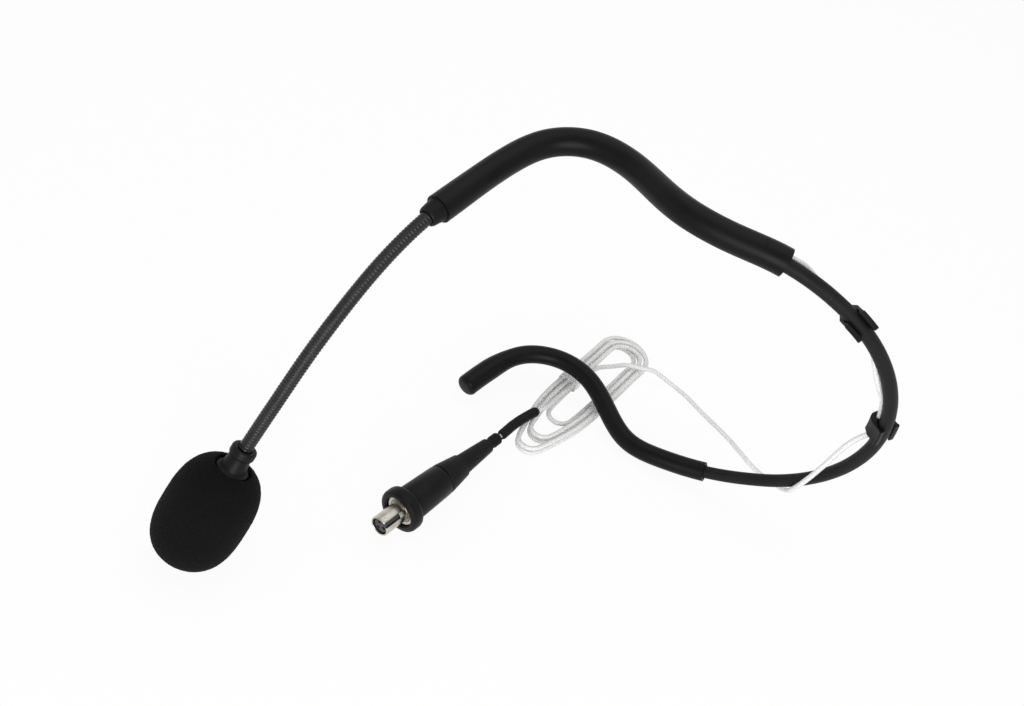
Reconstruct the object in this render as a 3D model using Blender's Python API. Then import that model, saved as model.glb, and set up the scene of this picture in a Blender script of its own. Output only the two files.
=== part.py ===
"""A behind-the-neck headset microphone, set down on a table beside its own coiled cable.

Lengths are metres and +Z is up. The headset is drawn as it is worn, in a frame at the middle of
the nape: x to the wearer's right, y forward and z up. That frame is then laid down on the table.
The boom is on the wearer's left.
"""
import math

import bpy
import bmesh
import numpy as np
from mathutils import Euler, Matrix, Vector

for old in list(bpy.data.objects):
    bpy.data.objects.remove(old, do_unlink=True)

# Overall sizes
HEAD_HALF = 0.066        # nape frame to the widest point of an arm, sideways
ARCH_FORWARD = 0.126     # nape to the top of the ear hook, forward
ARCH_RISE = 0.023        # neckband to the top of the ear hook, upward
BOOM_LENGTH = 0.0982     # gooseneck between socket and capsule

# Stock the headset is made from
BAND_D = 0.0050          # neckband tube
WIRE_D = 0.0020          # spring wire inside band and sleeves
CABLE_D = 0.0020         # clear cable
GAP = 0.0003             # between pieces that touch in the real thing
JOIN = 0.0006            # between two lengths of one cut band, wire or cable
SLEEVE_WALL = 0.00055    # soft sleeve on the boom side
PLAIN_WALL = 0.0011      # soft sleeve on the plain side, over the band
LEG_D = 0.0092           # front leg of the plain hook
LEG_BACK = 0.0470        # where that leg starts to swell, back from the arm's drawn end
LEG_SWELL = 0.0141       # length over which it swells
LEFT_SHORT = 0.00517     # arm's drawn end to the front edge of the boom-side sleeve
PLAIN_SHORT = 0.02116    # arm's drawn end to the tip of the plain hook
BAND_INSERT = 0.0120     # neckband inside each sleeve
BAND_SHIFT = 0.0008      # band and wire sit low in the boom-side sleeve, under the cable
TIP_STUB = 0.0060        # plug of the rounded tip inside the plain sleeve
SOCKET_STUB = 0.0080     # boom socket inside the boom-side sleeve
SOCKET_NOSE = 0.0060     # boom socket in front of the sleeve
SPRING_WIRE_D = 0.0009   # gooseneck winding
SPRING_D = 0.0050        # gooseneck, outside
SPRING_PITCH = 0.00145   # gooseneck, one curl to the next

# Where things sit along the nape arc, degrees from the middle, boom side positive
NAPE_ARC = 61.0          # end of the round part of the neckband
CLIP_LEFT_AT = 51.8
CLIP_NAPE_AT = 2.8
FLEX_FROM = 8.6
FLEX_TO = 43.2
FLEX_PIVOT = 26.0
LOBE_LEFT = 50.0         # side of the band on which the cable runs, 0 inward, 90 up
LOBE_NAPE = 42.0
CABLE_DIP = 40.0         # how far the slack cable swings down round the band between the clips
CLIP_LENGTH = 0.0086
CLIP_WALL = 0.00095
CLIP_BACK = 0.0010       # behind the cable
CLIP_MOUTH = 0.0038

# Resting pose: how the wearer's frame lies on the table, and the nape's place over it
LAID_DOWN = (-13.43, 76.71, 63.72)
NAPE_X = 0.1128
NAPE_Y = 0.0086
TABLE_CLEAR = 0.0001     # under the sleeve that lies lowest

# Windscreen and capsule, along the capsule's axis from the end of the gooseneck
CAPSULE_AIM = (0.752, 0.274, -0.600)
SEAT_DEPTH = 0.0012      # gooseneck inside the collar
COLLAR_RIM = 0.0009      # collar's wall at its rim, round the gooseneck
COLLAR_WALL = 0.00185
COLLAR_FOOT = 0.0021     # collar's wall above the flange
FLANGE_AT = 0.0090
FLANGE_D = 0.0115
FLANGE_THICK = 0.0020
FOAM_D = 0.0292
FOAM_TOP = 0.0087
FOAM_MIDDLE = 0.0287
FOAM_END = 0.0475
FOAM_FULL = 0.72         # roundness of the foam, 1 for an ellipse, less for a fuller egg
HOUSING_D = 0.0092
HOUSING_WALL = 0.0007
HOUSING_LENGTH = 0.0135
ELEMENT_LENGTH = 0.0050
ELEMENT_INSET = 0.0025   # element below the housing's front edge
GASKET_WALL = 0.0012
GASKET_INSET = 0.0010
GRILLE_THICK = 0.0006
GRILLE_HOLE_D = 0.0014
GRILLE_HOLE_REACH = 0.0027

# Coil of cable on the table
COIL_FIRST_LAP = 0.0506  # where the lead joins the lower layer, which winds outward
COIL_LOOPS_IN = 2.098    # upper layer, from the outside in
COIL_HALF_WIDTH = 0.0124
COIL_RUN = 0.0341        # middle of the coil to the start of its round end
COIL_TAPER = 0.0500      # length over which the other end draws in
COIL_TAPER_FROM = -0.0050
COIL_TIP_R = 0.0050      # bend at that end
COIL_TURN = 64.7         # heading of its long axis, degrees
COIL_BACK = 0.08464      # middle of the coil, back from the plain arm's drawn end
COIL_ASIDE = 0.0024      # and aside from under that arm
COIL_STEP = CABLE_D + 0.0007
COIL_LAYER = CABLE_D + 0.00045
PASS = 0.0002            # least room where the cable passes an arm
TIE_WALL = 0.00025
TIE_WIDTH = 0.0044
TIE_AT = 0.0030          # along the coil from its middle

# Plug, from the front of its nose along its axis
PLUG_TURN = 60.8
NOSE_D = 0.0078
NOSE_WALL = 0.0006
NOSE_INSIDE = 0.0100     # metal shell behind the coupling ring
KEYWAY_WIDTH = 0.0013
KEYWAY_LENGTH = 0.0065
INSERT_FROM = 0.0006
INSERT_TO = 0.0120
PIN_HOLE_D = 0.0015
PIN_REACH = 0.0016       # centre of the insert to each contact
PIN_FROM = 0.0015
PIN_BEHIND = 0.0020      # contact behind the insert
RING_FROM = 0.0093
RING_TO = 0.0143
RING_D = 0.0174
THREAD_ROOM = 0.0006     # between the nose and the thread round it
THREAD_WALL = 0.0013
BACK_D = 0.0137
BOOT_FROM = 0.0329
BOOT_STEP = 0.0441
BOOT_NECK = 0.0603
BOOT_END = 0.0663
BOOT_STUB = 0.0060       # boot inside the back shell
BOOT_BASE_D = 0.0122
BOOT_STEP_D = 0.0092
BOOT_CONE_D = 0.0082
BOOT_NECK_D = 0.0054
BOOT_WAIST_D = 0.0044
BOOT_TIP_D = 0.0049
SHRINK_D = 0.0041

STEP = 0.006             # spacing of the stations along every long piece

COLOURS = {
    "band": (0.035, 0.035, 0.037, 1), "sleeve": (0.012, 0.012, 0.013, 1), "wire": (0.62, 0.62, 0.63, 1),
    "cable": (0.78, 0.79, 0.80, 1), "foam": (0.008, 0.008, 0.009, 1), "plastic": (0.015, 0.015, 0.016, 1),
    "spring": (0.04, 0.04, 0.042, 1), "rubber": (0.02, 0.02, 0.021, 1), "metal": (0.70, 0.68, 0.63, 1),
    "insert": (0.10, 0.10, 0.11, 1), "clear": (0.85, 0.86, 0.87, 1), "gold": (0.75, 0.60, 0.28, 1),
}


def finish(obj, colour, parent=None, location=(0, 0, 0), rotation=None):
    """Give a piece its own material and hang it on its frame."""
    mat = bpy.data.materials.new(obj.name)
    mat.use_nodes = True
    mat.node_tree.nodes["Principled BSDF"].inputs["Base Color"].default_value = COLOURS[colour]
    obj.data.materials.append(mat)
    obj.parent = parent
    obj.location = location
    if rotation is not None:
        obj.rotation_euler = rotation
    return obj


def empty(name, location, parent=None, rotation=(0, 0, 0)):
    """A frame for a joint or for a group of pieces."""
    frame = bpy.data.objects.new(name, None)
    bpy.context.collection.objects.link(frame)
    frame.parent = parent
    frame.location = location
    frame.rotation_euler = rotation
    return frame


def mesh_object(name, bm):
    """Close a bmesh off as an object with its faces outward."""
    bmesh.ops.remove_doubles(bm, verts=bm.verts, dist=1e-6)
    bmesh.ops.triangulate(bm, faces=[f for f in bm.faces if len(f.verts) > 4])
    bmesh.ops.recalc_face_normals(bm, faces=bm.faces)
    if bm.calc_volume(signed=True) < 0:
        bmesh.ops.reverse_faces(bm, faces=bm.faces)
    data = bpy.data.meshes.new(name)
    bm.to_mesh(data)
    bm.free()
    obj = bpy.data.objects.new(name, data)
    bpy.context.collection.objects.link(obj)
    return obj


def turned(name, outline, sides=20):
    """Spin an outline of (radius, height) points about the local Z axis."""
    bm = bmesh.new()
    verts = [bm.verts.new((r, 0, z)) for r, z in outline]
    edges = [bm.edges.new((verts[i], verts[i + 1])) for i in range(len(verts) - 1)]
    if outline[0][0] > 0:
        edges.append(bm.edges.new((verts[-1], verts[0])))
    bmesh.ops.spin(bm, geom=verts + edges, cent=(0, 0, 0), axis=(0, 0, 1), angle=2 * math.pi,
                   steps=sides, use_merge=True)
    return mesh_object(name, bm)


def rings_along(centres, start_normal):
    """Square frames carried along a line of points without twisting."""
    points = [Vector(c) for c in centres]
    frames = []
    normal = Vector(start_normal)
    for i, point in enumerate(points):
        before = points[max(i - 1, 0)]
        after = points[min(i + 1, len(points) - 1)]
        along = (after - before).normalized()
        normal = (normal - along * normal.dot(along)).normalized()
        frames.append((point, normal.copy(), along.cross(normal)))
    return frames


def hose(name, centres, outer, inner, sides, start_normal=(0, 0, 1)):
    """A tube along a line of points, with an outer and an inner radius at each of them."""
    bm = bmesh.new()
    walls = []
    for radii in (outer, inner):
        wall = []
        for (point, u, v), radius in zip(rings_along(centres, start_normal), radii):
            ring = []
            for k in range(sides):
                a = 2 * math.pi * k / sides
                ring.append(bm.verts.new(point + (u * math.cos(a) + v * math.sin(a)) * radius))
            wall.append(ring)
        walls.append(wall)
    for wall in walls:
        for a, b in zip(wall, wall[1:]):
            for k in range(sides):
                bm.faces.new((a[k], a[(k + 1) % sides], b[(k + 1) % sides], b[k]))
    for end in (0, -1):
        a, b = walls[0][end], walls[1][end]
        for k in range(sides):
            bm.faces.new((a[k], a[(k + 1) % sides], b[(k + 1) % sides], b[k]))
    return mesh_object(name, bm)


def cord(name, points, diameter, resolution=2):
    """A round cord or wire through the given points, as a curve with a bevel."""
    data = bpy.data.curves.new(name, "CURVE")
    data.dimensions = "3D"
    data.bevel_depth = diameter / 2
    data.bevel_resolution = resolution
    data.use_fill_caps = True
    line = data.splines.new("POLY")
    line.points.add(len(points) - 1)
    for place, point in zip(line.points, points):
        place.co = (*point, 1)
    obj = bpy.data.objects.new(name, data)
    bpy.context.collection.objects.link(obj)
    return obj


class Route:
    """A smooth line through control points, read by the length along it."""

    def __init__(self, points):
        pts = np.array([tuple(p) for p in points], float)
        knots = np.concatenate([[0.0], np.cumsum(np.linalg.norm(np.diff(pts, axis=0), axis=1))])
        count = len(pts)
        gap = np.diff(knots)
        system = np.eye(count)
        wanted = np.zeros((count, 3))
        for i in range(1, count - 1):
            system[i, i - 1:i + 2] = gap[i - 1], 2 * (gap[i - 1] + gap[i]), gap[i]
            wanted[i] = 6 * ((pts[i + 1] - pts[i]) / gap[i] - (pts[i] - pts[i - 1]) / gap[i - 1])
        bend = np.linalg.solve(system, wanted)
        fine = []
        ends = []
        for i in range(count - 1):
            ends.append(len(fine))
            for t in np.arange(0, 1, 0.02):
                a, b = 1 - t, t
                curve = (a ** 3 - a) * bend[i] + (b ** 3 - b) * bend[i + 1]
                fine.append(a * pts[i] + b * pts[i + 1] + curve * gap[i] ** 2 / 6)
        ends.append(len(fine))
        fine.append(pts[-1])
        self.fine = np.array(fine)
        self.run = np.concatenate([[0.0], np.cumsum(np.linalg.norm(np.diff(self.fine, axis=0), axis=1))])
        self.marks = [float(self.run[e]) for e in ends]
        self.length = float(self.run[-1])

    def at(self, s):
        return Vector([float(np.interp(s, self.run, self.fine[:, k])) for k in range(3)])

    def heading(self, s):
        return (self.at(min(s + 1e-4, self.length)) - self.at(max(s - 1e-4, 0))).normalized()

    def spaced(self, first, last, spacing):
        count = max(2, round((last - first) / spacing) + 1)
        return [self.at(s) for s in np.linspace(first, last, count)]


def ease(x):
    """Smooth step from 0 to 1."""
    x = min(max(x, 0.0), 1.0)
    return x * x * (3 - 2 * x)


# The arms: a round nape that runs into stations over the ear, drawn on the overall sizes
NAPE_R = 0.94 * HEAD_HALF
ARM_SHAPE = [
    (0.953, 0.406, 0.0), (0.992, 0.552, -0.017), (1.006, 0.678, 0.096), (0.962, 0.780, 0.483),
    (0.923, 0.885, 0.887), (0.917, 1.002, 1.004), (0.903, 1.108, 0.761), (0.889, 1.177, 0.191),
    (0.879, 1.225, -0.504), (0.879, 1.267, -1.243),
]


def arm_route(side):
    points = []
    for k in range(11):
        a = math.radians(NAPE_ARC * k / 10)
        points.append((side * NAPE_R * math.sin(a), NAPE_R * (1 - math.cos(a)), 0))
    for x, y, z in ARM_SHAPE:
        points.append((side * x * HEAD_HALF, y * ARCH_FORWARD, z * ARCH_RISE))
    return Route(points)


ARMS = {1: arm_route(1), -1: arm_route(-1)}
ARM_END = ARMS[1].length
SLEEVE_FROM = ARMS[1].marks[11]
BAND_END = SLEEVE_FROM + BAND_INSERT
LEFT_FRONT = ARM_END - LEFT_SHORT
RIGHT_TIP = ARM_END - PLAIN_SHORT
NECK_FROM = math.radians(NAPE_ARC) * NAPE_R
FLEX_A = math.radians(FLEX_FROM) * NAPE_R
FLEX_B = math.radians(FLEX_TO) * NAPE_R
CABLE_OFF = BAND_D / 2 + CABLE_D / 2 + GAP


def along(s):
    """Centre line, boom side positive: point, heading away from the nape, up and inward."""
    side = -1 if s >= 0 else 1
    arm = ARMS[side]
    here = arm.at(abs(s))
    ahead = arm.heading(abs(s)) if abs(s) > 2e-4 else Vector((side, 0, 0))
    up = Vector((0, 0, 1))
    up = (up - ahead * up.dot(ahead)).normalized()
    inward = ahead.cross(up) * -side
    return here, ahead, up, inward


def band_at(s):
    here, ahead, up, inward = along(s)
    if s > 0:
        here = here - up * BAND_SHIFT * ease((s - NECK_FROM) / (SLEEVE_FROM - NECK_FROM))
    return here


def cable_at(s):
    """The cable lies against the band, inside it along the nape and above it at the sleeve."""
    here, ahead, up, inward = along(s)
    clip_a = math.radians(CLIP_NAPE_AT) * NAPE_R + CLIP_LENGTH * 1.2
    clip_b = math.radians(CLIP_LEFT_AT) * NAPE_R - CLIP_LENGTH * 1.2
    between = min(max((s - clip_a) / (clip_b - clip_a), 0.0), 1.0)
    turn = LOBE_NAPE + (LOBE_LEFT - LOBE_NAPE) * ease(between)
    turn -= CABLE_DIP * math.sin(math.pi * between) ** 2
    turn += (90 - LOBE_LEFT) * ease((s - NECK_FROM) / (SLEEVE_FROM - NECK_FROM))
    turn = math.radians(turn)
    return band_at(s) + (inward * math.cos(turn) + up * math.sin(turn)) * CABLE_OFF


def stations(first, last):
    """Lengths along the arms, on one grid that all pieces share."""
    inner = [k * STEP for k in range(-60, 60) if first + STEP / 3 < k * STEP < last - STEP / 3]
    return [first] + inner + [last]


# The boom's line, from the socket in the boom-side sleeve's front end to the capsule
SLEEVE_R = {
    "left": CABLE_OFF - BAND_SHIFT + CABLE_D / 2 + GAP + 0.00005 + SLEEVE_WALL,
    "right": BAND_D / 2 + GAP + PLAIN_WALL,
}
LEG_R = LEG_D / 2
front, front_ahead, front_up, front_in = along(LEFT_FRONT)
boom_start = front + front_ahead * (SOCKET_NOSE + GAP)
BOOM_SHAPE = [
    (0.007, 0.017, -0.061), (0.035, 0.047, -0.148), (0.069, 0.074, -0.231), (0.111, 0.100, -0.308),
    (0.183, 0.138, -0.419), (0.238, 0.164, -0.490), (0.301, 0.191, -0.559), (0.371, 0.219, -0.627),
    (0.445, 0.249, -0.692), (0.545, 0.289, -0.771),
]
boom = Route([boom_start] + [boom_start + Vector(f) * BOOM_LENGTH for f in BOOM_SHAPE])
MID = boom.length / 2
boom_end = boom.at(boom.length)
aim = Vector(CAPSULE_AIM).normalized()
seat_at = boom_end - aim * (SEAT_DEPTH - GAP)


def foam_profile(clear):
    """Outside of the windscreen as (radius, height), from its lip to its far end."""
    points = []
    for k in range(13):
        a = math.pi * k / 12 - math.pi / 2
        reach = FOAM_MIDDLE - FOAM_TOP if a < 0 else FOAM_END - FOAM_MIDDLE
        high = math.copysign(abs(math.sin(a)) ** FOAM_FULL, a) * reach + FOAM_MIDDLE
        wide = FOAM_D / 2 * abs(math.cos(a)) ** FOAM_FULL
        if wide > clear + 0.0008 or a > 0:
            points.append((wide if k < 12 else 0, high))
    return points


# Frames: the wearer's frame on the table, resting on sleeve and windscreen, and one for each joint
tilt = Euler([math.radians(a) for a in LAID_DOWN]).to_matrix()
lean = (tilt @ aim).z
foam_low = min((tilt @ (seat_at + aim * high)).z - wide * math.sqrt(1 - lean ** 2)
               for wide, high in foam_profile(FLANGE_D / 2 + GAP))
sleeve_low = min((tilt @ ARMS[1].at(s)).z - SLEEVE_R["right"]
                 for s in np.arange(SLEEVE_FROM, RIGHT_TIP, 0.001))
NAPE = Vector((NAPE_X, NAPE_Y, max(TABLE_CLEAR - sleeve_low, -foam_low)))
print("room under sleeve mm", round(1000 * (NAPE.z + sleeve_low), 3),
      "under foam", round(1000 * (NAPE.z + foam_low), 3))
to_table = Matrix.Translation(NAPE) @ tilt.to_4x4()

headset = empty("headset_frame", NAPE, None, tilt.to_euler())
flex_pivot = band_at(math.radians(FLEX_PIVOT) * NAPE_R)
arm_joint = empty("band_flex_axis", flex_pivot, headset)
arc_centre = Vector((0, NAPE_R, 0))
clip_nape_joint = empty("clip_nape_axis", arc_centre, headset)
clip_left_joint = empty("clip_left_axis", arc_centre - flex_pivot, arm_joint)

# Neckband, its spring wire and the sleeves
BAND_BORE = WIRE_D / 2 + GAP + 0.0001


def band_piece(name, first, last, parent, shift):
    marks = stations(first, last)
    centres = [band_at(s) for s in marks]
    piece = hose(name, centres, [BAND_D / 2] * len(marks), [BAND_BORE] * len(marks), 8)
    return finish(piece, "band", parent, shift)


def wire_piece(name, first, last, parent, shift):
    piece = cord(name, [band_at(s) for s in stations(first, last)], WIRE_D, 1)
    return finish(piece, "wire", parent, shift)


home = Vector((0, 0, 0))
band_piece("neckband_right", -BAND_END, FLEX_A, headset, home)
band_piece("neckband_flex", FLEX_A + JOIN, FLEX_B - JOIN, headset, home)
band_piece("neckband_left", FLEX_B, BAND_END, arm_joint, -flex_pivot)

tip_base = RIGHT_TIP - LEG_R
WIRE_SHORT = 0.0006      # wire stops this short of what it meets in a sleeve
wire_piece("core_wire_right", -(tip_base - TIP_STUB - WIRE_SHORT), FLEX_A, headset, home)
wire_piece("core_wire_flex", FLEX_A + JOIN, FLEX_B - JOIN, headset, home)
INNER_END = LEFT_FRONT - SOCKET_STUB - WIRE_SHORT - 0.0002
wire_piece("core_wire_left", FLEX_B, INNER_END, arm_joint, -flex_pivot)

marks = stations(SLEEVE_FROM, LEFT_FRONT)
left_outer = [SLEEVE_R["left"] + 0.00015 * ease((s - LEFT_FRONT + 0.02) / 0.02) for s in marks]
left_inner = [SLEEVE_R["left"] - SLEEVE_WALL] * len(marks)
sleeve = hose("ear_sleeve_left", [along(s)[0] for s in marks], left_outer, left_inner, 12)
finish(sleeve, "sleeve", arm_joint, -flex_pivot)

bore_wide = BAND_D / 2 + GAP
bore_wire = WIRE_D / 2 + GAP + 0.0001
marks = stations(-tip_base, -SLEEVE_FROM)
right_outer = []
right_inner = []
for s in marks:
    leg = ease((abs(s) - (ARM_END - LEG_BACK)) / LEG_SWELL)
    right_outer.append(SLEEVE_R["right"] + (LEG_R - SLEEVE_R["right"]) * leg)
    wide = abs(s) < BAND_END + 1.4 * STEP or abs(s) > tip_base - TIP_STUB - 1.4 * STEP
    right_inner.append(bore_wide if wide else bore_wire)
sleeve = hose("ear_sleeve_right", [along(s)[0] for s in marks], right_outer, right_inner, 12)
finish(sleeve, "sleeve", headset, home)


def facing(direction):
    """Rotation that points local Z along a direction."""
    return Vector(direction).to_track_quat("Z", "Y").to_euler()


tip_point, tip_ahead, tip_up, tip_in = along(-tip_base)
dome = [(LEG_R * math.cos(a), LEG_R * math.sin(a) + GAP) for a in np.linspace(0, math.pi / 2, 6)]
dome[-1] = (0, dome[-1][1])
stub_r = bore_wide - GAP - 0.0002
cap = [(0, -TIP_STUB + 0.001), (stub_r, -TIP_STUB + 0.001), (stub_r, GAP)] + dome
finish(turned("hook_tip_right", cap, 14), "sleeve", headset, tip_point, facing(tip_ahead))

# Boom: socket in the sleeve's front end, gooseneck in two halves, capsule, windscreen
SPRING_R = SPRING_D / 2
spring_mean = SPRING_R - SPRING_WIRE_D / 2
CORE_R = spring_mean * math.cos(math.pi / 8) - SPRING_WIRE_D / 2 - GAP
stub_r = SLEEVE_R["left"] - SLEEVE_WALL - GAP - 0.0001
socket_outline = [
    (0, -SOCKET_STUB), (stub_r, -SOCKET_STUB), (stub_r, GAP), (SLEEVE_R["left"] - 0.0003, GAP),
    (SLEEVE_R["left"], GAP + 0.0005), (SPRING_R + 0.0008, SOCKET_NOSE - 0.0006),
    (SPRING_R + 0.0005, SOCKET_NOSE), (CORE_R + GAP, SOCKET_NOSE),
    (CORE_R + GAP, -SOCKET_STUB + 0.003), (0, -SOCKET_STUB + 0.003),
]
socket = turned("boom_socket", socket_outline, 16)
finish(socket, "plastic", arm_joint, front - flex_pivot, facing(front_ahead))

swing_joint = empty("boom_swing_axis", boom_start - flex_pivot, arm_joint)
bend_joint = empty("boom_bend_axis", boom.at(MID) - boom_start, swing_joint)


def winding(first, last):
    """One unbroken spring wire round the boom, each end run out straight along it."""
    tail = SPRING_WIRE_D
    turns = int((last - first - 2 * tail) / SPRING_PITCH)
    per = 8
    total = turns * per
    normal = Vector((0, 1, 0))
    points = []
    start = first + tail
    length = last - first - 2 * tail
    for k in range(total + 1):
        s = start + length * k / total
        ahead = boom.heading(s)
        normal = (normal - ahead * normal.dot(ahead)).normalized()
        a = 2 * math.pi * k / per
        points.append(boom.at(s) + (normal * math.cos(a) + ahead.cross(normal) * math.sin(a)) * spring_mean)
    lead_in = points[0] - boom.heading(first) * tail
    lead_out = points[-1] + boom.heading(last) * tail
    least = 1.0
    cloud = np.array([tuple(p) for p in points])
    for k in range(len(cloud) - per + 2):
        far = cloud[k + per - 2:k + per + 3]
        least = min(least, float(np.linalg.norm(far - cloud[k], axis=1).min()))
    print("gooseneck curls", turns, "least gap to itself mm", round(1000 * (least - SPRING_WIRE_D), 3))
    return [lead_in] + points + [lead_out]


rear_core = [boom_start - front_ahead * SOCKET_NOSE] + boom.spaced(0.0, MID - GAP / 2, STEP)
finish(cord("gooseneck_core_rear", rear_core, 2 * CORE_R, 1), "rubber", swing_joint, -boom_start)
front_core = boom.spaced(MID + GAP / 2, boom.length, STEP)
finish(cord("gooseneck_core_front", front_core, 2 * CORE_R, 1), "rubber", bend_joint, -boom.at(MID))
rear_spring = cord("gooseneck_spring_rear", winding(0.0, MID - GAP), SPRING_WIRE_D, 1)
finish(rear_spring, "spring", swing_joint, -boom_start)
front_spring = cord("gooseneck_spring_front", winding(MID + GAP, boom.length - GAP), SPRING_WIRE_D, 1)
finish(front_spring, "spring", bend_joint, -boom.at(MID))

capsule = empty("capsule_frame", seat_at - boom.at(MID), bend_joint, facing(aim))
foam_joint = empty("windscreen_slide", (0, 0, 0), capsule)

fr = FLANGE_D / 2
flange_to = FLANGE_AT + FLANGE_THICK
collar = [
    (0, SEAT_DEPTH), (SPRING_R + GAP + 0.0001, SEAT_DEPTH), (SPRING_R + GAP + 0.0001, 0),
    (SPRING_R + GAP + COLLAR_RIM, 0), (SPRING_R + COLLAR_WALL, 0.0009), (SPRING_R + COLLAR_WALL, 0.0030),
    (SPRING_R + COLLAR_FOOT, FLANGE_AT - 0.0005), (fr - 0.0003, FLANGE_AT), (fr, FLANGE_AT + 0.0003),
    (fr, flange_to - 0.0003), (fr - 0.0003, flange_to), (0, flange_to),
]
finish(turned("capsule_collar", collar, 16), "plastic", capsule)

house_top = flange_to + GAP
HOUSE_END = house_top + HOUSING_LENGTH
hr = HOUSING_D / 2
hollow_r = hr - HOUSING_WALL
house = [
    (0, house_top), (hr, house_top), (hr, HOUSE_END), (hollow_r, HOUSE_END),
    (hollow_r, house_top + 0.001), (0, house_top + 0.001),
]
finish(turned("capsule_housing", house, 16), "metal", capsule)
er = hollow_r - GAP - 0.0001
element_to = HOUSE_END - ELEMENT_INSET
element_from = element_to - ELEMENT_LENGTH
element = [(0, element_from), (er, element_from), (er, element_to), (0, element_to)]
finish(turned("capsule_element", element, 16), "metal", capsule)
gasket = [
    (er - GASKET_WALL, element_to + GAP), (er, element_to + GAP),
    (er, HOUSE_END - GASKET_INSET), (er - GASKET_WALL, HOUSE_END - GASKET_INSET),
]
finish(turned("capsule_gasket", gasket, 16), "rubber", capsule)


def drilled(piece, name, spots, diameter, depth, sides, parent):
    """Cut round holes through a piece, at spots in its parent's frame."""
    bm = bmesh.new()
    for spot in spots:
        bmesh.ops.create_cone(bm, cap_ends=True, segments=sides, radius1=diameter / 2, radius2=diameter / 2,
                              depth=depth, matrix=Matrix.Translation(spot))
    cut_with(piece, name, bm, parent)


def cut_with(piece, name, bm, parent):
    """Subtract a wire-shown cutter from a piece."""
    data = bpy.data.meshes.new(name)
    bm.to_mesh(data)
    bm.free()
    cutter = bpy.data.objects.new(name, data)
    bpy.context.collection.objects.link(cutter)
    cutter.parent = parent
    cutter.hide_render = True
    cutter.display_type = "WIRE"
    cut = piece.modifiers.new(name, "BOOLEAN")
    cut.operation = "DIFFERENCE"
    cut.solver = "EXACT"
    cut.object = cutter


grille_from = HOUSE_END + GAP
grille_to = grille_from + GRILLE_THICK
grille = turned("capsule_grille", [(0, grille_from), (hr, grille_from), (hr, grille_to), (0, grille_to)], 16)
spots = [(0, 0, grille_from)]
for k in range(6):
    a = math.radians(60 * k)
    spots.append((GRILLE_HOLE_REACH * math.cos(a), GRILLE_HOLE_REACH * math.sin(a), grille_from))
drilled(grille, "grille_holes", spots, GRILLE_HOLE_D, 8 * GRILLE_THICK, 6, capsule)
finish(grille, "metal", capsule)

bore_r = hr + GAP
seat_r = fr + GAP
foam_outline = foam_profile(seat_r)
lip = (seat_r, foam_outline[0][1] - 0.0012)
bore_end = grille_to + GAP
foam_bore = [(0, bore_end), (bore_r, bore_end), (bore_r, house_top), (seat_r, house_top)]
finish(turned("windscreen", foam_bore + [lip] + foam_outline, 20), "foam", foam_joint)

# Cable: in the sleeve, along the band, down to the table, coiled, and on to the plug
marks = stations(FLEX_B, INNER_END)
finish(cord("cable_left", [cable_at(s) for s in marks], CABLE_D), "cable", arm_joint, -flex_pivot)
marks = stations(FLEX_A + JOIN, FLEX_B - JOIN)
finish(cord("cable_flex", [cable_at(s) for s in marks], CABLE_D), "cable", headset, home)

turn = math.radians(COIL_TURN)
COIL_U = Vector((math.cos(turn), math.sin(turn), 0))
COIL_V = Vector((-math.sin(turn), math.cos(turn), 0))
LOW = 0.0001 + TIE_WALL + 0.00015 + CABLE_D / 2
HIGH = LOW + COIL_LAYER
arm_line = np.array([tuple(to_table @ ARMS[1].at(s)) for s in np.arange(0, RIGHT_TIP, 0.0005)])


PER_LOOP = 48            # points a loop: six along each run and eighteen round each end
RUN_SHARE = 6 / PER_LOOP


def coil_side(u, width):
    """Half width of one loop at a distance along the coil, drawn in towards the tip."""
    past = max(COIL_TAPER_FROM - u, 0.0) / COIL_TAPER
    return width - COIL_HALF_WIDTH * past * past


def loop_width(lap):
    """Half width of the winding: it steps only round the wide end, so each tip is one clean bend."""
    n = math.floor(lap)
    t = min(max((lap - n - 0.5 - RUN_SHARE) / (0.5 - RUN_SHARE), 0.0), 1.0)
    here, there = abs(n - 2.5), abs(n - 1.5)
    steps = here + (there - here) * ease(t)
    if n == 2:
        steps -= 0.5 * math.sin(math.pi * t)
    return COIL_HALF_WIDTH - COIL_STEP * steps


def loop_point(lap):
    """Point on one loop: down the left run, round the tip, up the right run and round."""
    width = loop_width(lap)
    p = lap % 1.0
    half = 0.5 if p >= 0.5 else 0.0
    side = -1 if half else 1
    p -= half
    swing = math.pi * (p - RUN_SHARE) / (0.5 - RUN_SHARE)
    if p > RUN_SHARE and side < 0:
        return COIL_RUN + width * math.sin(swing), -width * math.cos(swing)
    far = COIL_TAPER_FROM
    lean = 0.0
    bend = min(COIL_TIP_R, width)
    while coil_side(far, width) > bend * math.cos(lean):
        far -= 0.00002
        lean = math.atan(2 * COIL_HALF_WIDTH * (COIL_TAPER_FROM - far) / COIL_TAPER ** 2)
    tip = far + bend * math.sin(lean)
    if p <= RUN_SHARE:
        t = p / RUN_SHARE
        u = COIL_RUN + (far - COIL_RUN) * (t if side > 0 else 1 - t)
        return u, side * coil_side(u, width)
    a = lean + (1 - 2 * lean / math.pi) * swing
    return tip - bend * math.sin(a), bend * math.cos(a)


climb_from = 2.5 + RUN_SHARE
climb_to = 3.0
loops = climb_to + COIL_LOOPS_IN - COIL_FIRST_LAP
winds = []
for lap in np.linspace(COIL_FIRST_LAP, climb_to + COIL_LOOPS_IN, round(loops * PER_LOOP) + 1):
    u, v = loop_point(lap)
    high = LOW + COIL_LAYER * ease((lap - climb_from) / (climb_to - climb_from))
    winds.append(COIL_U * u + COIL_V * v + Vector((0, 0, high)))

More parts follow.
